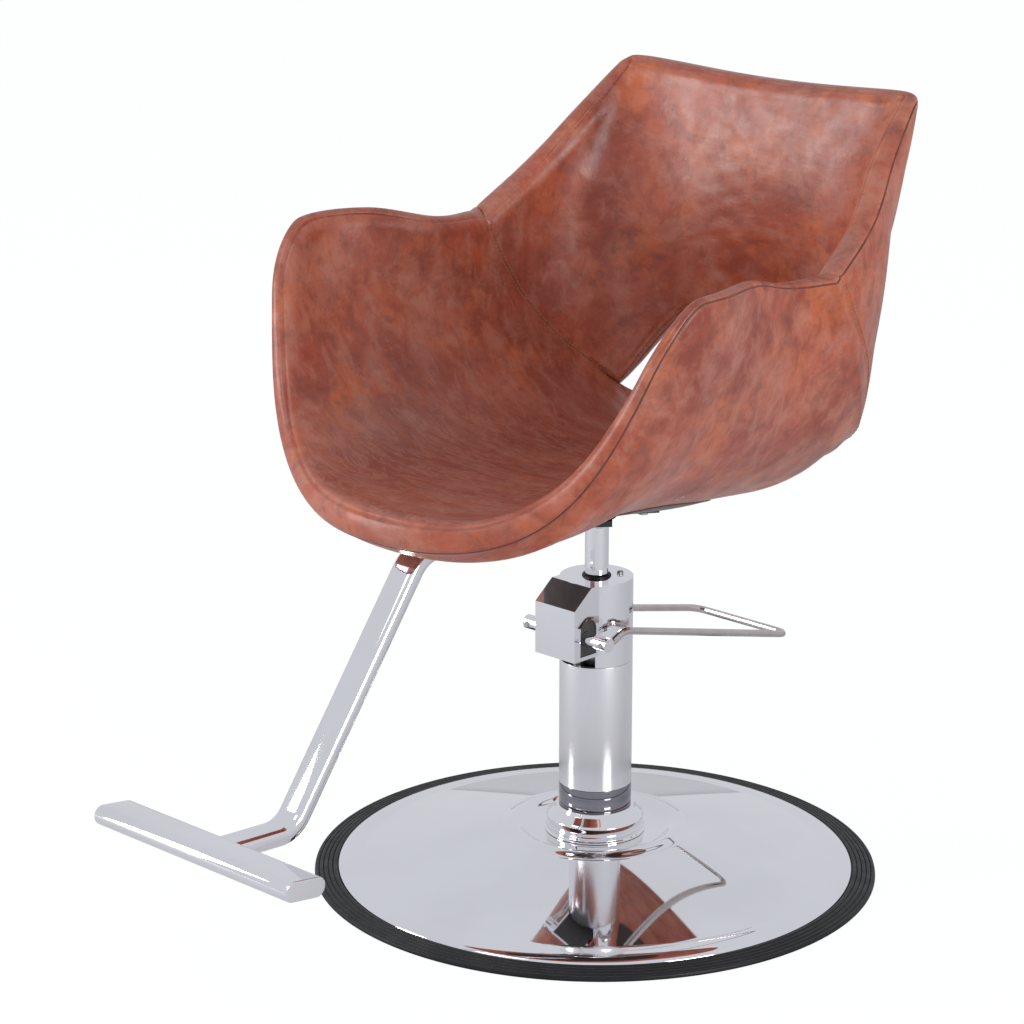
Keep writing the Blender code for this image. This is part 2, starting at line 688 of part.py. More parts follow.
def column_pieces(base):
    bore = TUBE_RADIUS + GAP
    tube_low, tube_high = FLANGE_TOP_Z + GAP, HEAD_BOTTOM_Z - GAP
    collar = ring(bore, SLEEVE_RADIUS, COLLAR_BOTTOM_Z, SLEEVE_BOTTOM_Z - GAP)
    add_piece(base, "lower_collar", collar, "chrome")
    add_piece(base, "pump_sleeve", ring(bore, SLEEVE_RADIUS, SLEEVE_BOTTOM_Z, tube_high), "satin_steel")
    add_piece(base, "reservoir_tube", ring(TUBE_BORE, TUBE_RADIUS, tube_low, tube_high), "machined_steel")
    cylinder = ring(BORE_RADIUS, LINER_RADIUS, tube_low, CYLINDER_TOP_Z)
    add_piece(base, "pressure_cylinder", cylinder, "machined_steel")
    head_pieces(base)
    barrel = ring(PLUNGER_RADIUS + GAP, BARREL_RADIUS, BARREL_BOTTOM_Z, BLOCK_BOTTOM_Z - GAP,
                  (0, PLUNGER_Y, 0), sides=24)
    add_piece(base, "plunger_barrel", barrel, "machined_steel")
    gland = ring(ROD_RADIUS + GAP, GLAND_RADIUS - GAP, CYLINDER_TOP_Z + 2 * GAP, HEAD_TOP_Z - HEAD_WALL - GAP)
    add_piece(base, "gland_bush", gland, "bronze")
    add_piece(base, "rod_wiper", turned(wiper_profile()), "rubber")
    screw_low, screw_top = HEAD_TOP_Z + GAP, HEAD_TOP_Z + 2.8 * MM
    screw = [(0, screw_low), (FILLER_RADIUS, screw_low), (FILLER_RADIUS, screw_top - 0.8 * MM),
             (FILLER_RADIUS - 0.8 * MM, screw_top), (0, screw_top)]
    add_piece(base, "oil_filler_screw", turned(screw, FILLER_PLACE, sides=16), "machined_steel")


def head_pieces(base):
    """The chromed head cover, and the iron casting inside it that holds the axle, plunger and gland."""
    cover = head_solid(base, "head_cover", 0.0, "chrome")
    inside = BLOCK_HALF_WIDTH - HEAD_WALL
    low, high = HEAD_BOTTOM_Z - CUT, HEAD_TOP_Z + CUT
    add_cutter(cover, "cover_cavity", bar(SLEEVE_RADIUS - HEAD_WALL, low, HEAD_TOP_Z - HEAD_WALL))
    add_cutter(cover, "cover_block_cavity", prism(block_outline(HEAD_WALL, low), -inside, inside))
    add_cutter(cover, "cover_rod_hole", bar(ROD_RADIUS + 3 * MM, low, high))
    add_cutter(cover, "cover_slot", prism(slot_outline(), -SLEEVE_RADIUS, SLEEVE_RADIUS))
    casting = head_solid(base, "head_casting", HEAD_WALL + GAP, "cast_iron")
    add_cutter(casting, "casting_liner_bore", bar(LINER_RADIUS + GAP, low, CYLINDER_TOP_Z + GAP))
    add_cutter(casting, "casting_gland_bore", bar(GLAND_RADIUS, low, high))
    axle_bore = bar(AXLE_RADIUS + GAP, -SLEEVE_RADIUS, SLEEVE_RADIUS, (0, AXLE_Y, AXLE_Z), "X")
    add_cutter(casting, "casting_axle_bore", axle_bore)
    front, back = CHAMBER_Y
    floor, roof = SLOT_Z
    chamber = [(front, floor), (back, floor), (back, roof), (front, roof)]
    add_cutter(casting, "casting_cam_chamber", prism(chamber, -CHAMBER_HALF_WIDTH, CHAMBER_HALF_WIDTH))
    plunger_bore = bar(PLUNGER_RADIUS + GAP, low, floor + 6 * MM, (0, PLUNGER_Y, 0), sides=24)
    add_cutter(casting, "casting_plunger_bore", plunger_bore)


def wiper_profile():
    """A rubber ring in the head's rod hole, with a raised lip round the rod."""
    inner, outer, lip = ROD_RADIUS + GAP, ROD_RADIUS + 2.6 * MM, ROD_RADIUS + 0.8 * MM
    low, step, top = HEAD_TOP_Z - 2.2 * MM, HEAD_TOP_Z + 1.5 * MM, HEAD_TOP_Z + 3.2 * MM
    return [(inner, low), (outer, low), (outer, step), (lip, top), (inner, top)]


def block_outline(inset, low):
    """The head's front block in side view: flat front, chamfered top, from a lower height up."""
    slant = inset * math.tan(CHAMFER_ANGLE / 2)
    return [
        (0, low), (BLOCK_FRONT_Y + inset, low), (BLOCK_FRONT_Y + inset, CHAMFER_Z - slant),
        (CHAMFER_Y + slant, HEAD_TOP_Z - inset), (0, HEAD_TOP_Z - inset),
    ]


def slot_outline():
    """The arched side slot that the axle sits in."""
    (front, back), (floor, top) = SLOT_Y, SLOT_Z
    middle, radius = (front + back) / 2, (back - front) / 2
    arch = [(middle + radius * math.cos(a), top - radius + radius * math.sin(a))
            for a in np.linspace(0, math.pi, 13)]
    return [(front, floor), (back, floor)] + arch


def head_solid(base, name, inset, material):
    """The pump head's outline: a round body joined to its front block."""
    low = HEAD_BOTTOM_Z if inset == 0 else BLOCK_BOTTOM_Z + GAP
    round_body = bar(SLEEVE_RADIUS - inset, low, HEAD_TOP_Z - inset, sides=48)
    piece = add_piece(base, name, round_body, material)
    block_low = BLOCK_BOTTOM_Z + (GAP if inset else 0)
    block = prism(block_outline(inset, block_low), inset - BLOCK_HALF_WIDTH, BLOCK_HALF_WIDTH - inset)
    add_cutter(piece, name + "_block", block, "UNION")
    return piece


# Pump lever


def lever_pieces(lever, plunger):
    centre = (0, AXLE_Y, AXLE_Z)
    axle = add_piece(lever, "lever_axle", bar(
        AXLE_RADIUS, -AXLE_HALF_LENGTH, AXLE_HALF_LENGTH, centre, "X", 32), "chrome")
    add_piece(lever, "pedal_loop", pedal_wire(), "nickel")
    for side, name in ((1, "left"), (-1, "right")):
        place = (side * WIRE_X, AXLE_Y, AXLE_Z)
        wire_hole = bar(WIRE_RADIUS + GAP, -3 * MM, CUT, place, "Y", 24)
        add_cutter(axle, f"axle_wire_hole_{name}", wire_hole)
        add_cutter(axle, f"axle_screw_hole_{name}", bar(SET_SCREW_RADIUS + GAP, -CUT, 0, place, "Y", 24))
        screw = bar(SET_SCREW_RADIUS, -AXLE_RADIUS - 0.4 * MM, -3.6 * MM, place, "Y", 24)
        add_piece(lever, f"lever_set_screw_{name}", screw, "machined_steel")
    cam_shape = prism(cam_outline(), -CAM_HALF_WIDTH, CAM_HALF_WIDTH)
    cam = add_piece(lever, "rocker_cam", cam_shape, "machined_steel")
    add_cutter(cam, "cam_bore", bar(AXLE_RADIUS + GAP, -CUT, CUT, centre, "X", 24))
    plunger_pieces(plunger)


def plunger_pieces(plunger):
    """The plunger under the cam's nose, and the spring that lifts it."""
    cap_top = AXLE_Z - NOSE_DROP - 2 * GAP
    cap_low = cap_top - 2.3 * MM
    profile = [
        (0, PLUNGER_BOTTOM_Z), (PLUNGER_RADIUS, PLUNGER_BOTTOM_Z), (PLUNGER_RADIUS, cap_low),
        (PLUNGER_RADIUS + 1 * MM, cap_low), (PLUNGER_RADIUS + 1 * MM, cap_top), (0, cap_top),
    ]
    add_piece(plunger, "pump_plunger", turned(profile, (0, PLUNGER_Y, 0), sides=24), "machined_steel")
    low, high = SLOT_Z[0] + GAP + SPRING_WIRE, cap_low - GAP - SPRING_WIRE
    coil = []
    for share in np.linspace(0, 1, 13 * SPRING_TURNS):
        angle = 2 * math.pi * SPRING_TURNS * share
        coil.append((SPRING_RADIUS * math.cos(angle), PLUNGER_Y + SPRING_RADIUS * math.sin(angle),
                     low + (high - low) * share))
    spring = swept(coil, circle(SPRING_WIRE, 6), (0, 0, 1))
    add_piece(plunger, "plunger_spring", spring, "machined_steel", 70)


def pedal_wire():
    """The foot loop: from the axle back, down and out to a crossbar, and forward again."""
    half = [
        (WIRE_X, AXLE_Y - 2.5 * MM, AXLE_Z), (WIRE_X, AXLE_Y + 12 * MM, AXLE_Z),
        (WIRE_X + 2 * MM, AXLE_Y + 27 * MM, AXLE_Z + 9 * MM), PEDAL_CORNER,
    ]
    other = [(-x, y, z) for x, y, z in reversed(half)]
    bends = (8 * MM, 16 * MM, 14 * MM)
    path = filleted(half + other, bends + bends[::-1], 3)
    return swept(path, circle(WIRE_RADIUS, 12), (0, 0, 1))


def cam_outline():
    """A rocker round the axle, with a nose over the plunger."""
    outer = AXLE_RADIUS + 3.5 * MM
    round_back = np.linspace(math.radians(60), math.radians(300), 13)
    outline = [(outer * math.cos(a), outer * math.sin(a)) for a in round_back]
    nose = PLUNGER_Y - AXLE_Y
    outline += [
        (9.5 * MM, 1.1 * MM - NOSE_DROP), (nose - 0.5 * MM, -NOSE_DROP), (nose + 2.5 * MM, -NOSE_DROP),
        (nose + 3.5 * MM, 3 * MM - NOSE_DROP), (nose + 0.5 * MM, 6 * MM),
    ]
    return [(AXLE_Y + y, AXLE_Z + z) for y, z in outline]


# Piston


def piston_pieces(piston):
    low, high = PISTON_Z
    bore = SPIGOT_RADIUS + GAP
    outer, groove = BORE_RADIUS - GAP, BORE_RADIUS - SEAL_DEPTH
    seals = [(low + start, low + start + SEAL_WIDTH) for start in SEAL_STARTS]
    profile = [(bore, low), (outer - 1 * MM, low), (outer, low + 1 * MM)]
    for start, end in seals:
        profile += [(outer, start), (groove, start), (groove, end), (outer, end)]
    profile += [(outer, high), (bore, high)]
    add_piece(piston, "piston_head", turned(profile, sides=32), "machined_steel")
    for name, (start, end) in zip(("lower", "upper"), seals):
        seal = ring(groove + GAP, BORE_RADIUS - 0.1 * MM, start + GAP, end - GAP, sides=32)
        add_piece(piston, f"piston_seal_{name}", seal, "rubber")
    washer = ring(bore, WASHER_RADIUS, high + GAP, high + WASHER_HEIGHT, sides=32)
    add_piece(piston, "thrust_washer", washer, "bronze")


# Seat


def seat_pieces(seat):
    rod_pieces(seat)
    plate_top = PLATE_Z + PLATE_THICKNESS
    plate = add_piece(seat, "mounting_plate", upright(cross_outline(), PLATE_Z, plate_top), "black_paint")
    add_cutter(plate, "plate_collar", bar(PLATE_COLLAR_RADIUS, PLATE_Z - 7 * MM, PLATE_Z + 1 * MM), "UNION")
    add_cutter(plate, "plate_rod_bore", bar(ROD_RADIUS + GAP, PLATE_Z - CUT, plate_top + CUT))
    mounts = [(MOUNT_BOLT_CIRCLE * math.cos(a), MOUNT_BOLT_CIRCLE * math.sin(a), MOUNT_INSERT_Z)
              for a in bolt_angles()]
    clearance = MOUNT_BOLT_RADIUS + GAP
    add_cutter(plate, "plate_bolt_holes", joined([
        bar(clearance, PLATE_Z - CUT, plate_top + CUT, (x, y, 0), sides=12) for x, y, _ in mounts]))
    legs = [(0, y, LEG_INSERT_Z) for y in LEG_BOLTS_Y]
    for number, (x, y, z) in enumerate(mounts, 1):
        head_low, head_high, tip = PLATE_Z - MOUNT_BOLT_HEAD, PLATE_Z - GAP, z + INSERT_LENGTH
        shape = bolt(MOUNT_BOLT_RADIUS, head_low, head_high, tip, (x, y, 0), 12)
        add_piece(seat, f"mounting_bolt_{number}", shape, "machined_steel")
    for number, (x, y, z) in enumerate(mounts + legs, 1):
        insert = ring(clearance, INSERT_RADIUS, z, z + INSERT_LENGTH, (x, y, 0), sides=12)
        add_piece(seat, f"threaded_insert_{number}", insert, "machined_steel")
    tub_pieces(seat, mounts + legs, clearance)


def rod_pieces(seat):
    """The piston rod, which turns with the seat, and the nut under its spigot."""
    low, high = PISTON_Z
    shoulder, nut_top, rod_top = high + WASHER_HEIGHT + GAP, low - GAP, PLATE_Z + PLATE_THICKNESS - 1 * MM
    nut_low = nut_top - NUT_HEIGHT
    rod = [
        (0, nut_low - 1 * MM), (SPIGOT_RADIUS, nut_low - 1 * MM), (SPIGOT_RADIUS, shoulder),
        (ROD_RADIUS, shoulder), (ROD_RADIUS, rod_top), (0, rod_top),
    ]
    add_piece(seat, "piston_rod", turned(rod), "chrome")
    bore = SPIGOT_RADIUS + GAP
    nut = [(bore, nut_low), (NUT_RADIUS, nut_low), (NUT_RADIUS, nut_top), (bore, nut_top)]
    add_piece(seat, "piston_nut", turned(nut, sides=24, hexagon=(1, 2)), "machined_steel")


def cross_outline():
    """Four diagonal arms with square ends."""
    half = PLATE_ARM_HALF_WIDTH
    outline = []
    for a in bolt_angles():
        ahead, left = np.array((math.cos(a), math.sin(a))), np.array((-math.sin(a), math.cos(a)))
        outline += [ahead * PLATE_ARM - left * half, ahead * PLATE_ARM + left * half]
        outline.append(ahead * half * 1.6 + left * half * 1.15)
    return [tuple(point) for point in outline]


def tub_pieces(seat, places, bolt_clearance):
    """The tub in layers from the sitter outwards: padding, moulded shell, outer covers, bottom cover."""
    seat_cells = net_triangles(0, ALONG_ARM)
    back_cells = net_triangles(ALONG_ARM + 1, ALONG_ARM + ALONG_BACK + 1)
    face, under = tub_net(sitting_face), tub_net(level(PAD_BACK), PAD_RIM)
    add_piece(seat, "seat_padding", wall(face, under, seat_cells), "leather", 50)
    add_piece(seat, "back_padding", wall(face, under, back_cells), "leather", 50)
    inside, outside = tub_net(deeper(shell_back, GAP), PAD_RIM + GAP), tub_net(underside)
    cover = add_piece(seat, "outer_tub_cover", wall(inside, outside, seat_cells), "leather", 50)
    add_piece(seat, "outer_back_cover", wall(inside, outside, back_cells), "leather", 50)
    shell_cells = welded(net_triangles(0, ALONG_ARM + ALONG_BACK + 1, in_shell))
    shell_face, shell_rear = tub_net(level(SHELL_FACE), parted=0), tub_net(shell_back, parted=0)
    shell = add_piece(seat, "moulded_shell", wall(shell_face, shell_rear, shell_cells), "moulded_shell", 50)
    bottom_cells = net_triangles(1, ALONG_ARM - 1, lambda i, j: 3 <= j < ACROSS - 3)
    upper, lower = tub_net(deeper(underside, GAP)), tub_net(deeper(underside, GAP + COVER_THICKNESS))
    bottom = add_piece(seat, "bottom_cover", wall(upper, lower, bottom_cells), "bottom_cloth", 50)
    half_x, half_y = COVER_HALF_SIZE
    oval = [(half_x * x, COVER_CENTRE_Y + half_y * y) for x, y in circle(1, 32)]
    low, high = PLATE_Z - 5 * CUT, LEG_INSERT_Z + 5 * CUT
    add_cutter(bottom, "bottom_cover_outline", upright(oval, low, high), "INTERSECT")
    add_cutter(bottom, "bottom_cover_bolt_holes", joined([
        bar(bolt_clearance, low, high, (x, y, 0), sides=12) for x, y, _ in places]))
    for piece in (cover, shell):
        add_cutter(piece, piece.name + "_insert_holes", joined([
            bar(INSERT_RADIUS + GAP, low, z + INSERT_LENGTH + GAP, (x, y, 0), sides=12)
            for x, y, z in places]))


def in_shell(row, column):
    """Whether the shell fills a cell of the net: it stops one cell short of every free edge."""
    if row == ALONG_ARM:
        return False
    return not any(on_rim(i, j) for i in (row, row + 1) for j in (column, column + 1))


def welded(triangles):
    """The shell's triangles with the seam's second row of points swapped for its first, so that the
    seat and the back are one moulding."""
    wide = ACROSS + 1
    seam = (ALONG_ARM + 1) * wide
    return [tuple(i - wide if seam <= i < seam + wide else i for i in cell) for cell in triangles]


# Footrest


def footrest_pieces(seat):
    path = filleted([(0, y, z) for y, z in LEG_PATH], LEG_BEND, 8)
    leg_shape = swept(path, stadium(LEG_WIDTH, LEG_THICKNESS), (1, 0, 0))
    leg = add_piece(seat, "footrest_leg", leg_shape, "chrome", 40)
    add_cutter(leg, "leg_bolt_holes", joined([
        bar(MOUNT_BOLT_RADIUS + GAP, PLATE_Z - 2 * CUT, LEG_INSERT_Z, (0, y, 0), sides=16)
        for y in LEG_BOLTS_Y]))
    for name, y in zip(("front", "rear"), LEG_BOLTS_Y):
        head, tip = leg_bottom(y), LEG_INSERT_Z + INSERT_LENGTH
        shape = bolt(MOUNT_BOLT_RADIUS, head - MOUNT_BOLT_HEAD, head - GAP, tip, (0, y, 0), 12)
        add_piece(seat, f"footrest_bolt_{name}", shape, "machined_steel")
    tilt = (0, -math.cos(BAR_TILT), math.sin(BAR_TILT))
    ends = [(x, *BAR_CENTRE) for x in (-BAR_HALF_LENGTH, BAR_HALF_LENGTH)]
    section = stadium(BAR_WIDTH, BAR_THICKNESS, 10)
    footbar = add_piece(seat, "footrest_bar", swept(ends, section, tilt), "chrome", 40)
    socket = stadium(LEG_WIDTH + 2 * GAP, LEG_THICKNESS + 2 * GAP)
    add_cutter(footbar, "bar_leg_socket", swept(path, socket, (1, 0, 0)))
    cap_section = stadium(BAR_WIDTH - 1 * MM, BAR_THICKNESS - 1 * MM, 10)
    for name, side in (("left", 1), ("right", -1)):
        inner, outer = side * (BAR_HALF_LENGTH + GAP), side * (BAR_HALF_LENGTH + GAP + CAP_THICKNESS)
        cap = swept([(inner, *BAR_CENTRE), (outer, *BAR_CENTRE)], cap_section, tilt)
        add_piece(seat, f"bar_end_cap_{name}", cap, "black_paint")


def leg_bottom(y):
    """Height of the underside of the leg's upper run at a place along it."""
    (rear_y, rear_z), (front_y, front_z) = LEG_PATH[:2]
    centre = rear_z + (front_z - rear_z) * (rear_y - y) / (rear_y - front_y)
    return centre - LEG_THICKNESS / 2 - GAP


def main():
    clear_scene()
    for name, look in MATERIALS.items():
        make_material(name, *look)
    base = make_body("base", (0, 0, 0))
    lever = make_body("lever", (0, AXLE_Y, AXLE_Z), base)
    plunger = make_body("plunger", (0, PLUNGER_Y, AXLE_Z), base)
    piston = make_body("piston", (0, 0, 0), base)
    seat = make_body("seat", (0, 0, 0), piston)
    base_pieces(base)
    column_pieces(base)
    lever_pieces(lever, plunger)
    piston_pieces(piston)
    seat_pieces(seat)
    footrest_pieces(seat)


main()
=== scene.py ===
"""Looks of the hydraulic styling chair: leather tub, chrome base, column, lever and footrest, set in a
white studio.

Metres, +Z up. The chair faces -Y and turns about the Z axis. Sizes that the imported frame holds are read
from it; the rest are named below.
"""

import json
import math

import bmesh
import bpy
import numpy as np
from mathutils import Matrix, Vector

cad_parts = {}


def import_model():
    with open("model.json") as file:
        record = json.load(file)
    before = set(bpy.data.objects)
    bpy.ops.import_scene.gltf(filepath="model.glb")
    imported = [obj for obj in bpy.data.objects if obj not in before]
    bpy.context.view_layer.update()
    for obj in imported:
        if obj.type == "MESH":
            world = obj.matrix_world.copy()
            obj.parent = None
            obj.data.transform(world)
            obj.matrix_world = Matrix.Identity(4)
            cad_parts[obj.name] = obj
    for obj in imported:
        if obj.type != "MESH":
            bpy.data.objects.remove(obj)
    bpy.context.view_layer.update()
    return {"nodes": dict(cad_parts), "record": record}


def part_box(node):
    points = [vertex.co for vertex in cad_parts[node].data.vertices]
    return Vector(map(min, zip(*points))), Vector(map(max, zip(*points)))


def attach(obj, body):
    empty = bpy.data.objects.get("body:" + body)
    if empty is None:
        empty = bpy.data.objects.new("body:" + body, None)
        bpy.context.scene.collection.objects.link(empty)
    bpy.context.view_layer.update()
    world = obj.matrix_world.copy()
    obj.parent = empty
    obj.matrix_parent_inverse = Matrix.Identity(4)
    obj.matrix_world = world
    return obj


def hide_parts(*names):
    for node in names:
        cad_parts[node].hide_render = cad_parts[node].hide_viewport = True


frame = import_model()

MM = 0.001

# Camera
CAMERA_AZIMUTH = math.radians(44.304)
CAMERA_PITCH = math.radians(16.367)
CAMERA_TARGET = (0.0530, -0.1807, 0.4431)
CAMERA_DISTANCE = 3.2
CAMERA_LENS = 114.357

# Tub: half width, y and z along the middle of the padded rim, from the front of the arm to the top
ARM_RIM = [
    (0.265, -0.186, 0.680),
    (0.273, -0.136, 0.686),
    (0.258, -0.077, 0.685),
    (0.234, 0.000, 0.668),
    (0.238, 0.068, 0.664),
]
WING_RIM = [
    (0.238, 0.068, 0.664),
    (0.226, 0.136, 0.709),
    (0.206, 0.194, 0.764),
    (0.191, 0.254, 0.817),
]
PAN_LINE = [(-0.318, 0.446), (-0.200, 0.446), (0.000, 0.436), (0.150, 0.427), (0.232, 0.426)]
BACK_LINE = [(0.232, 0.426), (0.250, 0.500), (0.254, 0.600), (0.257, 0.710), (0.266, 0.821)]
ARM_FULLNESS = [(2.9, 1.7), (2.7, 1.9), (2.5, 2.1), (2.4, 2.2), (2.4, 2.1)]
BACK_FULLNESS = [(2.4, 2.1), (2.2, 2.1), (2.2, 2.1), (3.1, 3.0), (4.4, 4.3)]
TOP_OPENNESS = 0.23
FRONT_ROUNDING = 0.030
SEAM_BOW = 0.014
TOP_DIP = 0.010
PAD_HALF = 0.017
ARM_HALF = 0.0105
BOTTOM_DEPTH = 0.029
BELLY = [(0.0, 0.0), (0.05, 1.1), (0.12, 0.9), (0.32, 0.2), (0.62, 1.0), (0.90, 1.2), (1.0, 0.8), (1.2, 0.0)]
OPENING_HALF_ANGLE = math.radians(37.2)
OPENING_HEIGHT = 0.36
OPENING_SQUARENESS = 4.0
OPENING_THINNING = 0.35
SEAT_END_DIP = 10 * MM
CROWN = 5 * MM  # height of the rounded edge above the rim line
OPENING_CROWN = 3 * MM
FRONT_CORNER = 0.12  # share of the arm's length that its front corner takes
FRONT_CORNER_ANGLE = math.radians(15)
TOP_CORNER = 0.04
TOP_CORNER_ANGLE = math.radians(11)
INNER_SLANT = -0.040
OUTER_SLANT = 0.070
CREASE_BLEND = 0.045  # distance over which the seat and the back turn into each other
SEAM_GROOVE = 1.6 * MM
SEAM_WIDTH = 2.4 * MM
SWELL = 1.3 * MM
HEEL_DEPTH = 8 * MM  # how much the outer face is rounded off along the crease
HEEL_REACH = 0.030
PUCKER_CENTRE = (1.50, math.radians(-9))  # along the back, and the section angle
PUCKER_REACH = (0.34, math.radians(11))
PUCKER_DEPTH = 0.55 * MM
INNER_ROLL = (14 * MM, 7 * MM)  # reach and depth of the rolled edge
OUTER_ROLL = (5 * MM, 1.5 * MM)
COLUMNS = 180
SEAT_ROWS = 130
BACK_ROWS = 110
STRIP_STEPS = 10


# Materials


class Nodes:
    """A material's node tree, with short ways to add and join nodes."""

    def __init__(self, name):
        self.material = bpy.data.materials.new(name)
        self.material.use_nodes = True
        self.tree = self.material.node_tree
        self.shader = self.tree.nodes["Principled BSDF"]
        self.place = self.add("ShaderNodeTexCoord").outputs["Object"]

    def add(self, kind, **settings):
        node = self.tree.nodes.new(kind)
        for key, value in settings.items():
            setattr(node, key, value)
        return node

    def join(self, out, into):
        self.tree.links.new(out, into)

    def set(self, **values):
        for key, value in values.items():
            self.shader.inputs[key.replace("_", " ")].default_value = value

    def stretched(self, scale, turn=(0, 0, 0)):
        node = self.add("ShaderNodeMapping")
        node.inputs["Scale"].default_value = scale
        node.inputs["Rotation"].default_value = turn
        self.join(self.place, node.inputs["Vector"])
        return node.outputs["Vector"]

    def noise(self, scale, detail=4.0, roughness=0.55, distortion=0.0, place=None):
        node = self.add("ShaderNodeTexNoise")
        node.inputs["Scale"].default_value = scale
        node.inputs["Detail"].default_value = detail
        node.inputs["Roughness"].default_value = roughness
        node.inputs["Distortion"].default_value = distortion
        self.join(place or self.place, node.inputs["Vector"])
        return node.outputs["Fac"]

    def ramp(self, value, stops):
        node = self.add("ShaderNodeValToRGB")
        ramp = node.color_ramp
        while len(ramp.elements) < len(stops):
            ramp.elements.new(0.5)
        for element, (position, colour) in zip(ramp.elements, stops):
            element.position = position
            grey = isinstance(colour, (int, float))
            element.color = (colour, colour, colour, 1) if grey else (*colour, 1)
        self.join(value, node.inputs["Fac"])
        return node.outputs["Color"]

    def mix(self, share, a, b, blend="MIX"):
        node = self.add("ShaderNodeMix", data_type="RGBA", blend_type=blend)
        for socket, value in ((node.inputs[0], share), (node.inputs[6], a), (node.inputs[7], b)):
            if isinstance(value, bpy.types.NodeSocket):
                self.join(value, socket)
            elif isinstance(value, tuple):
                socket.default_value = (*value, 1)
            else:
                socket.default_value = value
        return node.outputs[2]

    def bump(self, height, distance, strength=1.0, under=None):
        node = self.add("ShaderNodeBump")
        node.inputs["Distance"].default_value = distance
        node.inputs["Strength"].default_value = strength
        self.join(height, node.inputs["Height"])
        if under:
            self.join(under, node.inputs["Normal"])
        return node.outputs["Normal"]

    def finish(self, colour=None, roughness=None, normal=None):
        for key, value in (("Base Color", colour), ("Roughness", roughness), ("Normal", normal)):
            if value is not None:
                self.join(value, self.shader.inputs[key])
        return self.material


def leather():
    """Distressed cognac leather: soft red-brown mottling, orange patches, pale haze, a fine grain, and painted
    shade on the surfaces that face up.
    """
    n = Nodes("leather")
    colour = n.ramp(n.noise(9.0, 9.0, 0.64, 0.25), [
        (0.34, (0.240, 0.046, 0.025)),
        (0.48, (0.335, 0.070, 0.037)),
        (0.60, (0.415, 0.096, 0.049)),
        (0.74, (0.490, 0.122, 0.048)),
    ])
    blush = n.ramp(n.noise(15.0, 8.0, 0.64, 0.3), [(0.50, 0.0), (0.64, 0.70)])
    colour = n.mix(blush, colour, (0.520, 0.125, 0.038))
    haze = n.ramp(n.noise(12.0, 9.0, 0.68, 0.4), [(0.46, 0.0), (0.66, 0.55)])
    colour = n.mix(haze, colour, (0.460, 0.180, 0.120))
    streak = n.noise(26.0, 9.0, 0.70, 0.5, n.stretched((0.40, 1.7, 1.1), STREAK_TURN))
    colour = n.mix(n.ramp(streak, [(0.49, 0.0), (0.60, 0.30)]), colour, (0.500, 0.240, 0.180))
    colour = n.mix(n.ramp(streak, [(0.36, 0.42), (0.46, 0.0)]), colour, (0.170, 0.040, 0.028))
    fleck = n.ramp(n.noise(48.0, 9.0, 0.72, 0.2), [(0.36, 0.46), (0.50, 0.0)])
    colour = n.mix(fleck, colour, (0.180, 0.042, 0.028))
    # Painted shade: surfaces that face up, above all the seat inside the tub, are darkened towards a deep brown,
    # and the pale veins are faded there.
    facing = n.add("ShaderNodeSeparateXYZ")
    n.join(n.add("ShaderNodeNewGeometry").outputs["Normal"], facing.inputs[0])
    upward_painted_shade = n.ramp(facing.outputs["Z"], [(0.66, 0.0), (0.97, 0.55)])
    colour = n.mix(upward_painted_shade, colour, (0.175, 0.045, 0.033))
    veins = n.noise(20.0, 9.0, 0.74, 1.4, n.stretched((0.45, 1.9, 1.0), STREAK_TURN))
    veins = n.mix(n.ramp(veins, [(0.470, 0.0), (0.500, 1.0), (0.530, 0.0)]), (0.0, 0.0, 0.0), upward_painted_shade)
    colour = n.mix(veins, colour, (0.420, 0.190, 0.140))
    roughness = n.ramp(n.noise(45.0, 6.0), [(0.30, 0.26), (0.70, 0.42)])
    grain = n.add("ShaderNodeTexVoronoi", feature="DISTANCE_TO_EDGE")
    grain.inputs["Scale"].default_value = 620.0
    n.join(n.place, grain.inputs["Vector"])
    pebble = n.bump(grain.outputs["Distance"], 0.10 * MM, 0.5)
    creases = n.bump(streak, 0.8 * MM, 0.35, pebble)
    puckers = n.bump(n.noise(60.0, 6.0, 0.6, 0.4), 0.8 * MM, 0.5, creases)
    normal = n.bump(n.noise(22.0, 2.0, 0.5), 1.5 * MM, 0.35, puckers)
    n.set(Specular_IOR_Level=0.45)
    return n.finish(colour, roughness, normal)


STREAK_TURN = (0, 0, math.radians(-44))


def chrome(name="chrome", tint=(0.86, 0.855, 0.88), base_roughness=0.03):
    """Mirror chrome with a faint haze of wiping marks."""
    n = Nodes(name)
    haze = n.ramp(n.noise(30.0, 5.0), [(0.35, base_roughness * 0.8), (0.75, base_roughness * 1.3)])
    colour = n.mix(n.ramp(n.noise(8.0, 3.0), [(0.4, 0.0), (0.7, 1.0)]), tint, tuple(0.95 * c for c in tint))
    n.set(Metallic=1.0)
    return n.finish(colour, haze)


def satin(name, tint, roughness, scale, distance=0.02 * MM, contrast=0.84):
    """Metal with fine machining lines; scale says how they are stretched."""
    n = Nodes(name)
    lines = n.noise(1.0, 4.0, 0.7, 0.0, n.stretched(scale))
    colour = n.mix(n.ramp(lines, [(0.3, 0.0), (0.7, 1.0)]), tint, tuple(contrast * c for c in tint))
    rough = n.ramp(lines, [(0.3, roughness * 0.85), (0.7, roughness * 1.2)])
    n.set(Metallic=1.0)
    return n.finish(colour, rough, n.bump(lines, distance, 0.5))


def rubber():
    n = Nodes("rubber")
    dust = n.ramp(n.noise(55.0, 6.0, 0.65), [(0.35, (0.006, 0.006, 0.007)), (0.70, (0.013, 0.013, 0.015))])
    rough = n.ramp(n.noise(70.0, 3.0), [(0.3, 0.36), (0.7, 0.50)])
    n.set(Specular_IOR_Level=0.3)
    return n.finish(dust, rough, n.bump(n.noise(900.0, 2.0), 0.05 * MM, 0.4))


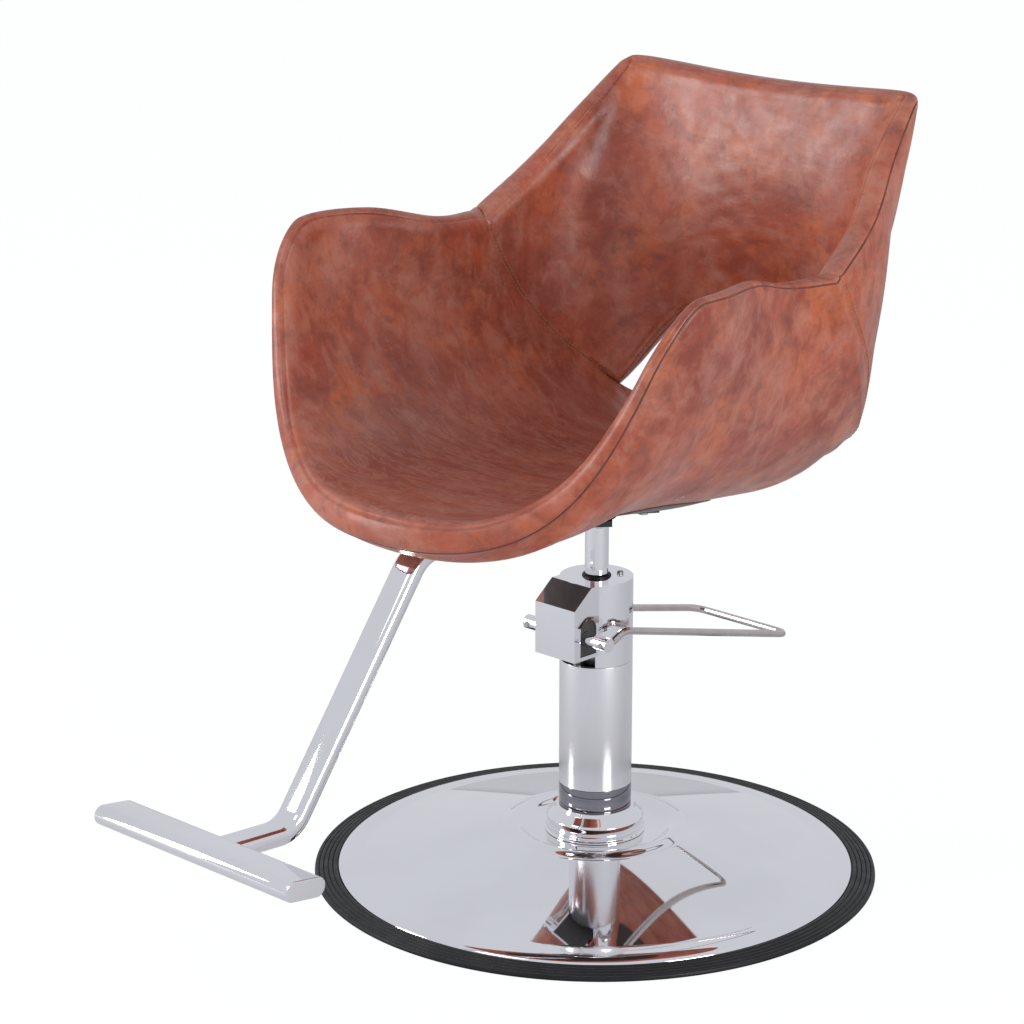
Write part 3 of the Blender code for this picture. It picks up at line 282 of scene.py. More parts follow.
def coarse(name, dark, light, roughness, scale, distance):
    """A dull surface with a speckled colour and grain, for castings, paint, cloth and wood."""
    n = Nodes(name)
    speckle = n.noise(scale, 6.0, 0.65)
    colour = n.ramp(speckle, [(0.3, dark), (0.7, light)])
    rough = n.ramp(speckle, [(0.3, roughness * 0.9), (0.7, min(1.0, roughness * 1.1))])
    return n.finish(colour, rough, n.bump(speckle, distance, 0.5))


def plywood():
    n = Nodes("moulded_shell")
    figure = n.noise(6.0, 5.0, 0.6, 1.5, n.stretched((1.0, 14.0, 14.0)))
    colour = n.ramp(figure, [(0.3, (0.30, 0.19, 0.10)), (0.7, (0.47, 0.33, 0.20))])
    return n.finish(colour, n.ramp(figure, [(0.3, 0.5), (0.7, 0.65)]), n.bump(figure, 0.1 * MM, 0.4))


def dust_cloth():
    """Dark brown cloth with a fine square weave."""
    n = Nodes("bottom_cloth")
    weave = n.add("ShaderNodeTexBrick", offset=0.5)
    weave.inputs["Scale"].default_value = 420.0
    weave.inputs["Mortar Size"].default_value = 0.10
    n.join(n.place, weave.inputs["Vector"])
    fleck = n.noise(60.0, 5.0)
    colour = n.ramp(fleck, [(0.3, (0.028, 0.014, 0.011)), (0.7, (0.062, 0.030, 0.024))])
    n.set(Roughness=0.85, Sheen_Weight=0.2)
    return n.finish(colour, None, n.bump(weave.outputs["Fac"], 0.12 * MM, 0.6))


LOOKS = {
    "leather": leather(),
    "chrome": chrome(),
    "dark_chrome": chrome("dark_chrome", (0.30, 0.295, 0.33), 0.05),
    "satin_steel": satin("satin_steel", (0.86, 0.855, 0.88), 0.22, (60, 60, 2500), 0.004 * MM, 0.97),
    "nickel": satin("nickel", (0.62, 0.57, 0.55), 0.16, (60, 60, 60)),
    "machined_steel": satin("machined_steel", (0.45, 0.45, 0.46), 0.30, (400, 400, 400)),
    "black_paint": coarse("black_paint", (0.010, 0.010, 0.010), (0.022, 0.022, 0.024), 0.45, 300, 0.05 * MM),
    "cast_iron": coarse("cast_iron", (0.035, 0.035, 0.036), (0.075, 0.073, 0.070), 0.75, 260, 0.30 * MM),
    "rubber": rubber(),
    "bronze": satin("bronze", (0.50, 0.33, 0.15), 0.30, (300, 300, 900)),
    "moulded_shell": plywood(),
    "bottom_cloth": dust_cloth(),
}


def stitch_thread():
    n = Nodes("stitch_thread")
    colour = n.ramp(n.noise(900.0, 3.0), [(0.3, (0.34, 0.15, 0.065)), (0.7, (0.52, 0.27, 0.13))])
    n.set(Roughness=0.6)
    return n.finish(colour, None, n.bump(n.noise(2500.0, 2.0), 0.05 * MM, 0.6))


def piping_leather():
    n = Nodes("piping_leather")
    colour = n.ramp(n.noise(60.0, 6.0), [(0.3, (0.085, 0.024, 0.015)), (0.7, (0.190, 0.052, 0.028))])
    n.set(Roughness=0.42)
    return n.finish(colour, None, n.bump(n.noise(400.0, 4.0), 0.08 * MM, 0.5))


# Mesh helpers


def piece(name, points, faces, look, body, sharp_degrees=30.0, replaces=()):
    """A mesh object of the chair: it rides a body and may stand for CAD nodes."""
    mesh = bpy.data.meshes.new(name)
    mesh.from_pydata([tuple(p) for p in points], [], faces)
    mesh.validate()
    outward = bmesh.new()
    outward.from_mesh(mesh)
    bmesh.ops.remove_doubles(outward, verts=outward.verts, dist=1e-6)
    bmesh.ops.recalc_face_normals(outward, faces=outward.faces)
    outward.to_mesh(mesh)
    outward.free()
    mesh.shade_smooth()
    mesh.set_sharp_from_angle(angle=math.radians(sharp_degrees))
    mesh.materials.append(look)
    made = bpy.data.objects.new(name, mesh)
    bpy.context.scene.collection.objects.link(made)
    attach(made, body)
    if replaces:
        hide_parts(*replaces)
    return made


def turned(profile, sides=128, centre=(0, 0, 0), axis="Z"):
    """A profile of (radius, height) points turned about an axis. First and last radius zero: a bar;
    otherwise a ring."""
    solid = profile[0][0] == 0 and profile[-1][0] == 0
    rows = profile[1:-1] if solid else profile
    points, faces = [], []
    for radius, height in rows:
        for k in range(sides):
            a = 2 * math.pi * k / sides
            x, y, z = radius * math.cos(a), radius * math.sin(a), height
            if axis == "X":
                x, y, z = z, x, y
            elif axis == "Y":
                x, y, z = y, z, x
            points.append((x + centre[0], y + centre[1], z + centre[2]))
    count = len(rows)
    for i in range(count - 1 if solid else count):
        low, high = i * sides, (i + 1) % count * sides
        for k in range(sides):
            after = (k + 1) % sides
            faces.append((low + k, low + after, high + after, high + k))
    if solid:
        faces += [tuple(reversed(range(sides))), tuple(range((count - 1) * sides, count * sides))]
    return points, faces


def rounded(profile, radius, steps=4):
    """A profile with its corners rounded by small arcs of about the given radius. The ends stay."""
    out = [profile[0]]
    for before, corner, after in zip(profile, profile[1:], profile[2:]):
        corner = np.array(corner)
        back, ahead = np.array(before) - corner, np.array(after) - corner
        reach = min(radius, 0.45 * np.linalg.norm(back), 0.45 * np.linalg.norm(ahead))
        if reach < 1e-6:
            out.append(tuple(corner))
            continue
        start = corner + back / np.linalg.norm(back) * reach
        end = corner + ahead / np.linalg.norm(ahead) * reach
        for k in range(steps + 1):
            t = k / steps
            out.append(tuple((1 - t) ** 2 * start + 2 * t * (1 - t) * corner + t**2 * end))
    out.append(profile[-1])
    return out


def swept(path, sections, across):
    """Sections carried along a path, one for all of it or one for each point. Their first axis starts
    along across and turns no more than it must."""
    path = np.array(path, float)
    steps = np.diff(path, axis=0)
    steps /= np.linalg.norm(steps, axis=1)[:, None]
    tangents = np.vstack([steps[:1], steps[:-1] + steps[1:], steps[-1:]])
    side = np.array(across, float)
    varied = isinstance(sections[0][0], (list, tuple))
    count = len(sections[0]) if varied else len(sections)
    points, faces = [], [tuple(range(count))]
    for i, (place, tangent) in enumerate(zip(path, tangents)):
        tangent = tangent / np.linalg.norm(tangent)
        side = side - tangent * side.dot(tangent)
        side /= np.linalg.norm(side)
        normal = np.cross(tangent, side)
        points += [place + a * side + b * normal for a, b in (sections[i] if varied else sections)]
    for i in range(len(path) - 1):
        for k in range(count):
            after = (k + 1) % count
            faces.append((i * count + k, i * count + after, (i + 1) * count + after, (i + 1) * count + k))
    faces.append(tuple(range(len(points) - 1, len(points) - 1 - count, -1)))
    return points, faces


def filleted(corners, radii, steps=16):
    """A path through corners, each inner corner rounded with its own radius."""
    corners = [np.array(corner, float) for corner in corners]
    path = [corners[0]]
    for before, corner, after, radius in zip(corners, corners[1:], corners[2:], radii):
        back = (before - corner) / np.linalg.norm(before - corner)
        ahead = (after - corner) / np.linalg.norm(after - corner)
        half = math.acos(back.dot(ahead)) / 2
        centre = corner + (back + ahead) / np.linalg.norm(back + ahead) * radius / math.sin(half)
        start = corner + back * radius / math.tan(half) - centre
        end = corner + ahead * radius / math.tan(half) - centre
        turn = math.pi - 2 * half
        for k in range(steps + 1):
            a = turn * k / steps
            path.append(centre + (start * math.sin(turn - a) + end * math.sin(a)) / math.sin(turn))
    path.append(corners[-1])
    return path


def flat_oval(width, thickness, steps=14, power=2.0):
    """A flat-oval section: two flats joined by round ends."""
    radius = thickness / 2
    reach = width / 2 - radius
    section = []
    for centre, start in ((reach, -math.pi / 2), (-reach, math.pi / 2)):
        for k in range(steps + 1):
            a = start + math.pi * k / steps
            c, s = math.cos(a), math.sin(a)
            c = math.copysign(abs(c) ** (2 / power), c)
            s = math.copysign(abs(s) ** (2 / power), s)
            section.append((centre + radius * c, radius * s))
    return section


def circle(radius, sides=32):
    return [(radius * math.cos(2 * math.pi * k / sides), radius * math.sin(2 * math.pi * k / sides))
            for k in range(sides)]


# The tub's surface


def curve(points, shares):
    """Points on the smooth curve through the given points, at shares of its length."""
    points = np.array(points, float)
    shares = np.asarray(shares, float)
    knots = np.r_[0, np.cumsum(np.linalg.norm(np.diff(points[:, -2:], axis=0), axis=1))]
    knots /= knots[-1]
    slopes = np.gradient(points, knots, axis=0)
    i = np.clip(np.searchsorted(knots, shares, side="right") - 1, 0, len(knots) - 2)
    span = knots[i + 1] - knots[i]
    t = ((shares - knots[i]) / span)[..., None]
    span = span[..., None]
    return (
        (2 * t**3 - 3 * t**2 + 1) * points[i]
        + (t**3 - 2 * t**2 + t) * span * slopes[i]
        + (-2 * t**3 + 3 * t**2) * points[i + 1]
        + (t**3 - t**2) * span * slopes[i + 1]
    )


def section_place(angle, power):
    """How far out and how far up a superellipse has come at an angle from its lowest point."""
    sine, cosine = np.sin(angle), np.maximum(np.cos(angle), 0)
    size = (np.abs(sine) ** power + cosine**power) ** (1 / power)
    return sine / size, 1 - cosine / size


def sheet(part, share, angle):
    """Points on the middle surface of one part of the padded tub. Share runs from the seat's front edge
    to the crease, or from the crease to the top of the back; angle from -90 degrees at one rim to 90."""
    rim, line, fullness = (
        (ARM_RIM, PAN_LINE, ARM_FULLNESS) if part == "seat" else (WING_RIM, BACK_LINE, BACK_FULLNESS)
    )
    half_width, rim_y, rim_z = np.moveaxis(curve(rim, share), -1, 0)
    line_y, line_z = np.moveaxis(curve(line, share), -1, 0)
    stations = np.linspace(0, 1, len(fullness))
    floor, wall = (np.interp(share, stations, column) for column in zip(*fullness))
    power = floor + (wall - floor) * np.sin(angle) ** 2
    turn = 1 - TOP_OPENNESS * share**2 if part == "back" else 1.0
    out, rise = section_place(angle * turn, power)
    full_out, full_rise = section_place(math.pi / 2 * turn, wall)
    out, rise = out / full_out, rise / full_rise
    bow = share**3 if part == "seat" else (1 - share) ** 2
    y = line_y + (rim_y - line_y) * rise - SEAM_BOW * bow * 4 * rise * (1 - rise)
    if part == "seat":
        y = y + FRONT_ROUNDING * (1 - share) ** 2 * 4 * out**2 * (1 - out**2)
    z = line_z + (rim_z - line_z) * rise
    if part == "back":
        z = z - TOP_DIP * share**4 * (1 - out**2)
    return np.stack([half_width * out, y, z], axis=-1)


def middle(u, angle):
    """The whole middle surface: u runs from 0 at the front edge through 1 at the crease to 2 at the top."""
    u, angle = np.broadcast_arrays(np.asarray(u, float), np.asarray(angle, float))
    seat = sheet("seat", np.clip(u, 0, 1), angle)
    back = sheet("back", np.clip(u - 1, 0, 1), angle)
    return np.where((u < 1)[..., None], seat, back)


def unit(vectors):
    return vectors / np.maximum(np.linalg.norm(vectors, axis=-1, keepdims=True), 1e-12)


def smooth(value):
    value = np.clip(value, 0, 1)
    return value * value * (3 - 2 * value)


def own_normal(part, share, angle):
    step = 1e-3
    share = np.clip(share, 0, 1)
    low, high = np.maximum(share - step, 0), np.minimum(share + step, 1)
    edge = math.pi / 2 - 1e-6
    left, right = np.maximum(angle - step, -edge), np.minimum(angle + step, edge)
    along = sheet(part, high, angle) - sheet(part, low, angle)
    across = sheet(part, share, right) - sheet(part, share, left)
    return unit(np.cross(across, along))


def normal(u, angle):
    """Towards the sitter, with the seat and the back easing into one direction along their crease."""
    u, angle = np.broadcast_arrays(np.asarray(u, float), np.asarray(angle, float))
    own = np.where((u < 1)[..., None], own_normal("seat", u, angle), own_normal("back", u - 1, angle))
    shared = unit(own_normal("seat", np.ones_like(u), angle) + own_normal("back", 0 * u, angle))
    away = np.linalg.norm(middle(u, angle) - middle(np.ones_like(u), angle), axis=-1)
    sewn = smooth((np.abs(angle) - OPENING_HALF_ANGLE) / math.radians(10) + 0.6)
    near = (1 - smooth(away / CREASE_BLEND)) * sewn
    return unit(own * (1 - near[..., None]) + shared * near[..., None])


def opening_top(angle):
    """Where the back begins above the opening."""
    return 1 + OPENING_HEIGHT * np.maximum(0.0, 1 - np.abs(angle / OPENING_HALF_ANGLE) ** OPENING_SQUARENESS)


def seam_at(angle, face):
    """Where the seat and the back are sewn: ahead of the crease inside the tub, behind it outside."""
    sewn = smooth((np.abs(angle) - OPENING_HALF_ANGLE) / math.radians(22))
    towards_rim = smooth((np.abs(angle) - math.radians(60)) / math.radians(30))
    slant = INNER_SLANT if face == "inner" else OUTER_SLANT
    return 1 + slant * sewn * (1 - 0.45 * towards_rim)


def thinning(u, angle):
    """1 beside the opening, 0 away from it."""
    over = np.maximum(u - opening_top(angle), 0) + np.maximum(1 - u, 0)
    beside = np.maximum(np.abs(angle) - OPENING_HALF_ANGLE, 0) / math.radians(12)
    return (1 - smooth(over / 0.20)) * (1 - smooth(beside))


def wall_half(u, angle):
    arm = np.sin(angle) ** 2 * (1 - np.minimum(u, 1) ** 4)
    slim = np.where(u < 1, arm, np.sin(angle) ** 6 * np.maximum(u - 1, 0) ** 3)
    return PAD_HALF - (PAD_HALF - ARM_HALF) * slim


def eased(at, stations):
    """A value that eases from one (place, value) station to the next."""
    places, values = (np.array(column) for column in zip(*stations))
    i = np.clip(np.searchsorted(places, at, side="right") - 1, 0, len(places) - 2)
    share = smooth((at - places[i]) / (places[i + 1] - places[i]))
    return values[i] + (values[i + 1] - values[i]) * share


def outer_depth(u, angle):
    belly = (1 - np.sin(angle) ** 6) * eased(u, BELLY)
    depth = wall_half(u, angle) + (BOTTOM_DEPTH - PAD_HALF) * belly
    away = np.linalg.norm(middle(u, angle) - middle(np.ones_like(u), angle), axis=-1)
    depth = depth - HEEL_DEPTH * np.exp(-((away / HEEL_REACH) ** 2)) * np.cos(angle) ** 2
    return depth * (1 - OPENING_THINNING * thinning(u, angle))


def groove(u, angle, face):
    """How far the leather dips into the seam between the seat and the back."""
    sewn = smooth((np.abs(angle) - OPENING_HALF_ANGLE) / math.radians(2))
    gap = np.linalg.norm(middle(u, angle) - middle(seam_at(angle, face), angle), axis=-1)
    return SEAM_GROOVE * np.exp(-((gap / SEAM_WIDTH) ** 2)) * sewn


def soft_relief(points):
    """Slow swells of the padding, from -1 to 1, as a sum of plane waves."""
    waves = [((9, 4, 7), 0.3), ((-13, 11, 5), 1.9), ((17, -9, 15), 4.1), ((5, 21, -19), 2.6), ((27, 13, 9), 5.3)]
    total = 0
    for direction, phase in waves:
        total = total + np.sin(points @ np.array(direction) * 1.7 + phase) / len(waves)
    return total


def puckers(u, angle, points):
    """Small wrinkles where the covering is drawn into the hollow of the back, from -1 to 1."""
    up, beside = (u - PUCKER_CENTRE[0]) / PUCKER_REACH[0], (angle - PUCKER_CENTRE[1]) / PUCKER_REACH[1]
    x, z = points[..., 0], points[..., 2]
    waves = np.sin(210 * z + 60 * x + 2.2 * np.sin(38 * x + 1.0)) + 0.6 * np.sin(330 * z - 110 * x + 0.7)
    return np.exp(-(up**2) - beside**2) * waves / 1.6


def inner_face(u, angle, lift=0.0):
    points = middle(u, angle)
    rise = wall_half(u, angle) - groove(u, angle, "inner") + SWELL * soft_relief(points) + lift
    rise = rise + PUCKER_DEPTH * puckers(u, angle, points)
    rise = rise - np.where(u < 1, SEAT_END_DIP * thinning(u, angle), 0)
    return points + normal(u, angle) * rise[..., None]


def outer_face(u, angle, lift=0.0):
    depth = outer_depth(u, angle) - groove(u, angle, "outer") + lift
    return middle(u, angle) - normal(u, angle) * depth[..., None]


def rounding(part, angle):
    """How far a panel's outer corners are cut back, 0 to 1, so that its edge turns them in a curve."""
    reach = FRONT_CORNER_ANGLE if part == "seat" else TOP_CORNER_ANGLE
    t = np.clip((np.abs(angle) - math.pi / 2 + reach) / reach, 0, 1)
    return 1 - np.sqrt(np.maximum(1 - t**2, 0))


def panel_net(part):
    """A panel's inner and outer faces as grids of points, closer together towards its edges."""
    t = np.linspace(-1, 1, COLUMNS + 1)
    angle = math.pi / 2 * (t + 0.96 * np.sin(math.pi * t) / math.pi)
    rows = SEAT_ROWS if part == "seat" else BACK_ROWS
    s = np.linspace(0, 1, rows + 1)
    share = s - 0.8 * np.sin(2 * math.pi * s) / (2 * math.pi)
    share, angle = np.meshgrid(share, angle, indexing="ij")
    faces = []
    for face, place in (("inner", inner_face), ("outer", outer_face)):
        seam = seam_at(angle, face)
        if part == "seat":
            start, end = FRONT_CORNER * rounding(part, angle), seam
        else:
            start, end = np.maximum(seam, opening_top(angle)), 2 - TOP_CORNER * rounding(part, angle)
            start = np.where(np.abs(angle) < OPENING_HALF_ANGLE, start, seam)
        faces.append(place(start + (end - start) * share, angle))
    return angle, *rolled(part, angle, *faces)


def rolled(part, angle, inner, outer):
    """The panel's two faces with their free edges rolled towards each other: softly inside, tightly outside."""
    rows, columns = angle.shape[0] - 1, angle.shape[1] - 1
    seam_row = rows if part == "seat" else 0
    free = [(i, j) for i, j in perimeter(part, rows, columns)
            if i != seam_row or abs(angle[i, j]) < OPENING_HALF_ANGLE]
    index = tuple(np.array(free).T)
    through = unit(outer - inner)
    made = []
    for face, sign, (reach, drop) in ((inner, 1, INNER_ROLL), (outer, -1, OUTER_ROLL)):
        edge = face[index]
        near = np.array([np.linalg.norm(edge - point, axis=1).min() for point in face.reshape(-1, 3)])
        near = near.reshape(angle.shape)
        fall = drop * (1 - np.sqrt(np.maximum(1 - np.clip(1 - near / reach, 0, 1) ** 2, 0)))
        made.append(face + sign * through * fall[..., None])
    return made


def perimeter(part, rows, columns):
    """Row and column of each point round the edge of a net, in order, starting at the seam."""
    seam_row, far_row = (rows, 0) if part == "seat" else (0, rows)
    step = 1 if far_row > seam_row else -1
    loop = [(seam_row, j) for j in range(columns, 0, -1)]
    loop += [(i, 0) for i in range(seam_row, far_row, step)]
    loop += [(far_row, j) for j in range(columns)]
    return loop + [(i, columns) for i in range(far_row, seam_row, -step)]


def edge_heights(part, loop, angle):
    """Height of the rounded edge at each point of the perimeter: none where the panels are sewn."""
    seam_row = angle.shape[0] - 1 if part == "seat" else 0
    heights = []
    for i, j in loop:
        height = CROWN
        if i == seam_row:
            height = OPENING_CROWN * smooth((OPENING_HALF_ANGLE - abs(angle[i, j])) / math.radians(3))
        elif abs(i - seam_row) < 4:
            height = CROWN * abs(i - seam_row) / 4
        heights.append(float(height))
    return np.array(heights)


def edge_ways(loop, inner, outer):
    """The way out of the panel at each point of its perimeter, in its surface."""
    rows, columns = zip(*loop)
    centre = (inner[rows, columns] + outer[rows, columns]) / 2
    through = unit(inner[rows, columns] - outer[rows, columns])
    along = unit(np.roll(centre, -1, axis=0) - np.roll(centre, 1, axis=0))
    way = unit(np.cross(along, through))
    i, j = loop[len(loop) // 2 + 20]
    inward = (inner[inner.shape[0] // 2, j] + outer[outer.shape[0] // 2, j]) / 2
    sign = -1 if np.dot(way[len(loop) // 2 + 20], inward - centre[len(loop) // 2 + 20]) > 0 else 1
    way = sign * way
    for _ in range(3):
        way = unit(np.roll(way, 1, axis=0) + 2 * way + np.roll(way, -1, axis=0))
    return way


def tub_panel(part, name, replaces):
    """One upholstered panel as a closed form: inner face, rounded edge, outer face."""
    angle, inner, outer = panel_net(part)
    rows, columns = angle.shape[0] - 1, angle.shape[1] - 1
    wide = columns + 1
    points = list(inner.reshape(-1, 3)) + list(outer.reshape(-1, 3))
    second = (rows + 1) * wide
    faces = []
    for i in range(rows):
        for j in range(columns):
            a, b, c, d = i * wide + j, i * wide + j + 1, (i + 1) * wide + j + 1, (i + 1) * wide + j
            faces += [(a, b, c, d), (d + second, c + second, b + second, a + second)]
    loop = perimeter(part, rows, columns)
    rings = [[i * wide + j for i, j in loop]]
    ways = edge_ways(loop, inner, outer)
    heights = edge_heights(part, loop, angle)
    for k in range(1, STRIP_STEPS):
        turn = math.pi * k / STRIP_STEPS
        ring = []
        for (i, j), way, height in zip(loop, ways, heights):
            top, low = inner[i, j], outer[i, j]
            middle_point = (top + low) / 2 + (top - low) / 2 * math.cos(turn)
            ring.append(len(points))
            points.append(middle_point + way * height * math.sin(turn) ** 0.8)
        rings.append(ring)
    rings.append([i * wide + j + second for i, j in loop])
    for ring, following in zip(rings, rings[1:]):
        for k in range(len(loop)):
            after = (k + 1) % len(loop)
            faces.append((ring[k], following[k], following[after], ring[after]))
    return piece(name, points, faces, LOOKS["leather"], "seat", 60, replaces)


def rim_line(lift=0.0):
    """Points along the seam that runs round the outer top corner of the wall, one closed loop."""
    line = []
    for part in ("seat", "back"):
        angle, _, outer = panel_net(part)
        rows, columns = angle.shape[0] - 1, angle.shape[1] - 1
        rim = perimeter(part, rows, columns)[columns + 1:]
        if part == "back":
            rim = rim[::-1]
        line += [outer[i, j] for i, j in rim]
    return np.array(line)


def closed_tube(name, line, radius, look, body):
    """A thin tube along a closed line."""
    sides, count = 8, len(line)
    tangents = unit(np.roll(line, -1, axis=0) - np.roll(line, 1, axis=0))
    up = unit(np.cross(tangents, np.array((0.31, 0.17, 0.94))))
    other = np.cross(tangents, up)
    points, faces = [], []
    for centre, a, b in zip(line, up, other):
        for k in range(sides):
            turn = 2 * math.pi * k / sides
            points.append(centre + radius * (a * math.cos(turn) + b * math.sin(turn)))
    for i in range(count):
        low, high = i * sides, (i + 1) % count * sides
        for k in range(sides):
            after = (k + 1) % sides
            faces.append((low + k, low + after, high + after, high + k))
    return piece(name, points, faces, look, body, 80)


STITCH_LENGTH = 3.4 * MM
STITCH_PITCH = 4.6 * MM
STITCH_RADIUS = 0.42 * MM


def stitches(lines):
    """Small threads laid along lines of points, as one mesh."""
    points, faces = [], []
    for line in lines:
        line = np.array(line)
        along = np.r_[0, np.cumsum(np.linalg.norm(np.diff(line, axis=0), axis=1))]
        for start in np.arange(0, along[-1] - STITCH_LENGTH, STITCH_PITCH):
            marks = start + STITCH_LENGTH * np.array((0, 0.12, 0.5, 0.88, 1))
            spine = np.stack([np.interp(marks, along, line[:, k]) for k in range(3)], axis=1)
            tangent = unit(spine[-1] - spine[0])
            side = unit(np.cross(tangent, (0.2, 0.1, 0.97)))
            other = np.cross(tangent, side)
            first = len(points)
            for centre, thick in zip(spine, (0.35, 0.9, 1.0, 0.9, 0.35)):
                for k in range(6):
                    a = math.pi * k / 3
                    points.append(centre + STITCH_RADIUS * thick * (side * math.cos(a) + other * math.sin(a)))
            for i in range(4):
                for k in range(6):
                    low, after = first + i * 6, (k + 1) % 6
                    faces.append((low + k, low + after, low + 6 + after, low + 6 + k))
            faces += [tuple(first + k for k in range(5, -1, -1)), tuple(first + 24 + k for k in range(6))]
    return points, faces


COVER_MIDDLE = 0.5  # where the bottom cover's centre lies along the seat
COVER_REACH = 0.30
COVER_ANGLE = math.radians(30)
COVER_LIFT = 1.2 * MM
SHELL_ANGLE = math.radians(78)
SHELL_INSET = 0.07  # how far the shell's panels stay from their edges, as a share of the seat or back
SHELL_SEAT_END = 0.78
SHELL_BACK_START = 1.12
SHELL_DEPTHS = (-1.7 * MM, 5.0 * MM)
STITCH_LIFT = 0.25 * MM
SEAM_OFFSET = 3.2 * MM  # from the seam to each row of stitching
ARCH_OFFSET = 4.5 * MM


def beside_seam(part, angle, offset, face="inner", lift=STITCH_LIFT):
    """A line along the seam on one panel, a little way from it."""
    sign = -1 if part == "seat" else 1
    start = seam_at(angle, face)
    if part == "back":
        start = np.where(np.abs(angle) < OPENING_HALF_ANGLE, opening_top(angle), start)
    step = 0.02
    span = np.linalg.norm(middle(start + sign * step, angle) - middle(start, angle), axis=-1)
    place = inner_face if face == "inner" else outer_face
    return place(start + sign * step * offset / span, angle, lift)


def seam_stitching():
    lines = []
    for side in (-1, 1):
        angle = side * np.linspace(math.radians(88.5), OPENING_HALF_ANGLE, 200)
        for face in ("inner", "outer"):
            lines.append(beside_seam("seat", angle, SEAM_OFFSET, face))
            lines.append(beside_seam("back", angle, SEAM_OFFSET, face))
    arch = np.linspace(-OPENING_HALF_ANGLE, OPENING_HALF_ANGLE, 200)
    lines.append(beside_seam("back", arch, ARCH_OFFSET))
    points, faces = stitches(lines)
    piece("seam_stitching", points, faces, stitch_thread(), "seat", 60)


def bottom_cover():
    """The dark cloth tacked under the seat: an oval that follows the underside."""
    rings, sides = 14, 72
    rows = [(0.0, -COVER_LIFT)]
    rows += [(k / rings, -COVER_LIFT) for k in range(1, rings + 1)]
    rows += [(1.0, COVER_LIFT * 0.6)] + [(k / rings - 0.012, COVER_LIFT) for k in range(rings, 0, -1)]
    points, faces = [], []
    turns = np.linspace(0, 2 * math.pi, sides, endpoint=False)
    for reach, lift in rows[1:]:
        u = COVER_MIDDLE + COVER_REACH * reach * np.sin(turns)
        points += list(outer_face(u, COVER_ANGLE * reach * np.cos(turns), lift))
    for i in range(len(rows) - 2):
        for k in range(sides):
            after = (k + 1) % sides
            faces.append((i * sides + k, i * sides + after, (i + 1) * sides + after, (i + 1) * sides + k))
    last = (len(rows) - 2) * sides
    faces += [tuple(reversed(range(sides))), tuple(range(last, last + sides))]
    piece("bottom_cover_cloth", points, faces, LOOKS["bottom_cloth"], "seat", 50, ("bottom_cover",))


def moulded_shell():
    """The bent shell inside the padding, in two panels that stop short of the free edges."""
    rows, columns = 36, 72
    angle, share = np.meshgrid(np.linspace(-SHELL_ANGLE, SHELL_ANGLE, columns + 1), np.linspace(0, 1, rows + 1))
    points, faces = [], []
    for start, end in ((SHELL_INSET, SHELL_SEAT_END), (SHELL_BACK_START, 2 - SHELL_INSET)):
        if start > 1:
            start = np.maximum(start, opening_top(angle) + SHELL_INSET)
        u = start + (end - start) * share
        first, count, wide = len(points), u.size, columns + 1
        for depth in SHELL_DEPTHS:
            points += list((middle(u, angle) - normal(u, angle) * depth).reshape(-1, 3))
        for i in range(rows):
            for j in range(columns):
                a = first + i * wide + j
                quad = (a, a + 1, a + wide + 1, a + wide)
                faces += [quad, tuple(k + count for k in reversed(quad))]
        rim = [first + j for j in range(wide)] + [first + i * wide + columns for i in range(1, rows + 1)]
        rim += [first + rows * wide + j for j in range(columns - 1, -1, -1)]
        rim += [first + i * wide for i in range(rows - 1, 0, -1)]
        for a, b in zip(rim, rim[1:] + rim[:1]):
            faces.append((a, a + count, b + count, b))
    look = LOOKS["moulded_shell"]
    piece("moulded_shell_panels", points, faces, look, "seat", 50, ("moulded_shell",))


tub_panel("seat", "tub_seat_upholstery", ("seat_padding", "outer_tub_cover"))
bottom_cover()
moulded_shell()
tub_panel("back", "tub_back_upholstery", ("back_padding", "outer_back_cover"))
closed_tube("rim_piping", rim_line(-0.2 * MM), 1.05 * MM, piping_leather(), "seat")
seam_stitching()


# Base


def upper(node):
    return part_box(node)[1]


def lower(node):
    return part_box(node)[0]


DISH_RADIUS = upper("base_dish").x
DISH_EDGE_Z = lower("base_dish").z
DISH_SHEET = 2 * MM
LIP_RADIUS = 0.249
LIP_Z = 0.0135
HUMP_RADIUS = 0.104
HUMP_Z = 0.048
DISH_CENTRE_Z = lower("pump_flange").z - 0.3 * MM
RUBBER_RADIUS = upper("rubber_trim_ring").x
RUBBER_INSIDE = DISH_RADIUS + 0.6 * MM
RUBBER_EDGE = 5 * MM
RUBBER_TOP = upper("rubber_trim_ring").z


def base_dish():
    top = [(0.030, DISH_CENTRE_Z), (0.070, DISH_CENTRE_Z)]
    for k in range(1, 25):
        share = k / 24
        rise = (HUMP_Z - DISH_CENTRE_Z) * share + 6 * MM * math.sin(math.pi * share) ** 2
        top.append((0.070 + share * (HUMP_RADIUS - 0.070), DISH_CENTRE_Z + rise))
    for k in range(1, 30):
        share = k / 30
        top.append((HUMP_RADIUS + (LIP_RADIUS - HUMP_RADIUS) * share, HUMP_Z + (LIP_Z - HUMP_Z) * share))
    top = rounded(top, 3 * MM, 3)
    for k in range(25):
        a = math.pi / 2 * k / 24
        top.append((LIP_RADIUS + (DISH_RADIUS - LIP_RADIUS) * math.sin(a),
                    DISH_EDGE_Z + (LIP_Z - DISH_EDGE_Z) * math.cos(a)))
    under = [(r - DISH_SHEET * (0.8 if r > LIP_RADIUS else 0), z - DISH_SHEET) for r, z in top[:-6]]
    edge = [(DISH_RADIUS - DISH_SHEET, DISH_EDGE_Z)]
    points, faces = turned(list(reversed(top)) + under + edge, 192)
    piece("base_dish_polished", points, faces, LOOKS["chrome"], "base", 50, ("base_dish",))


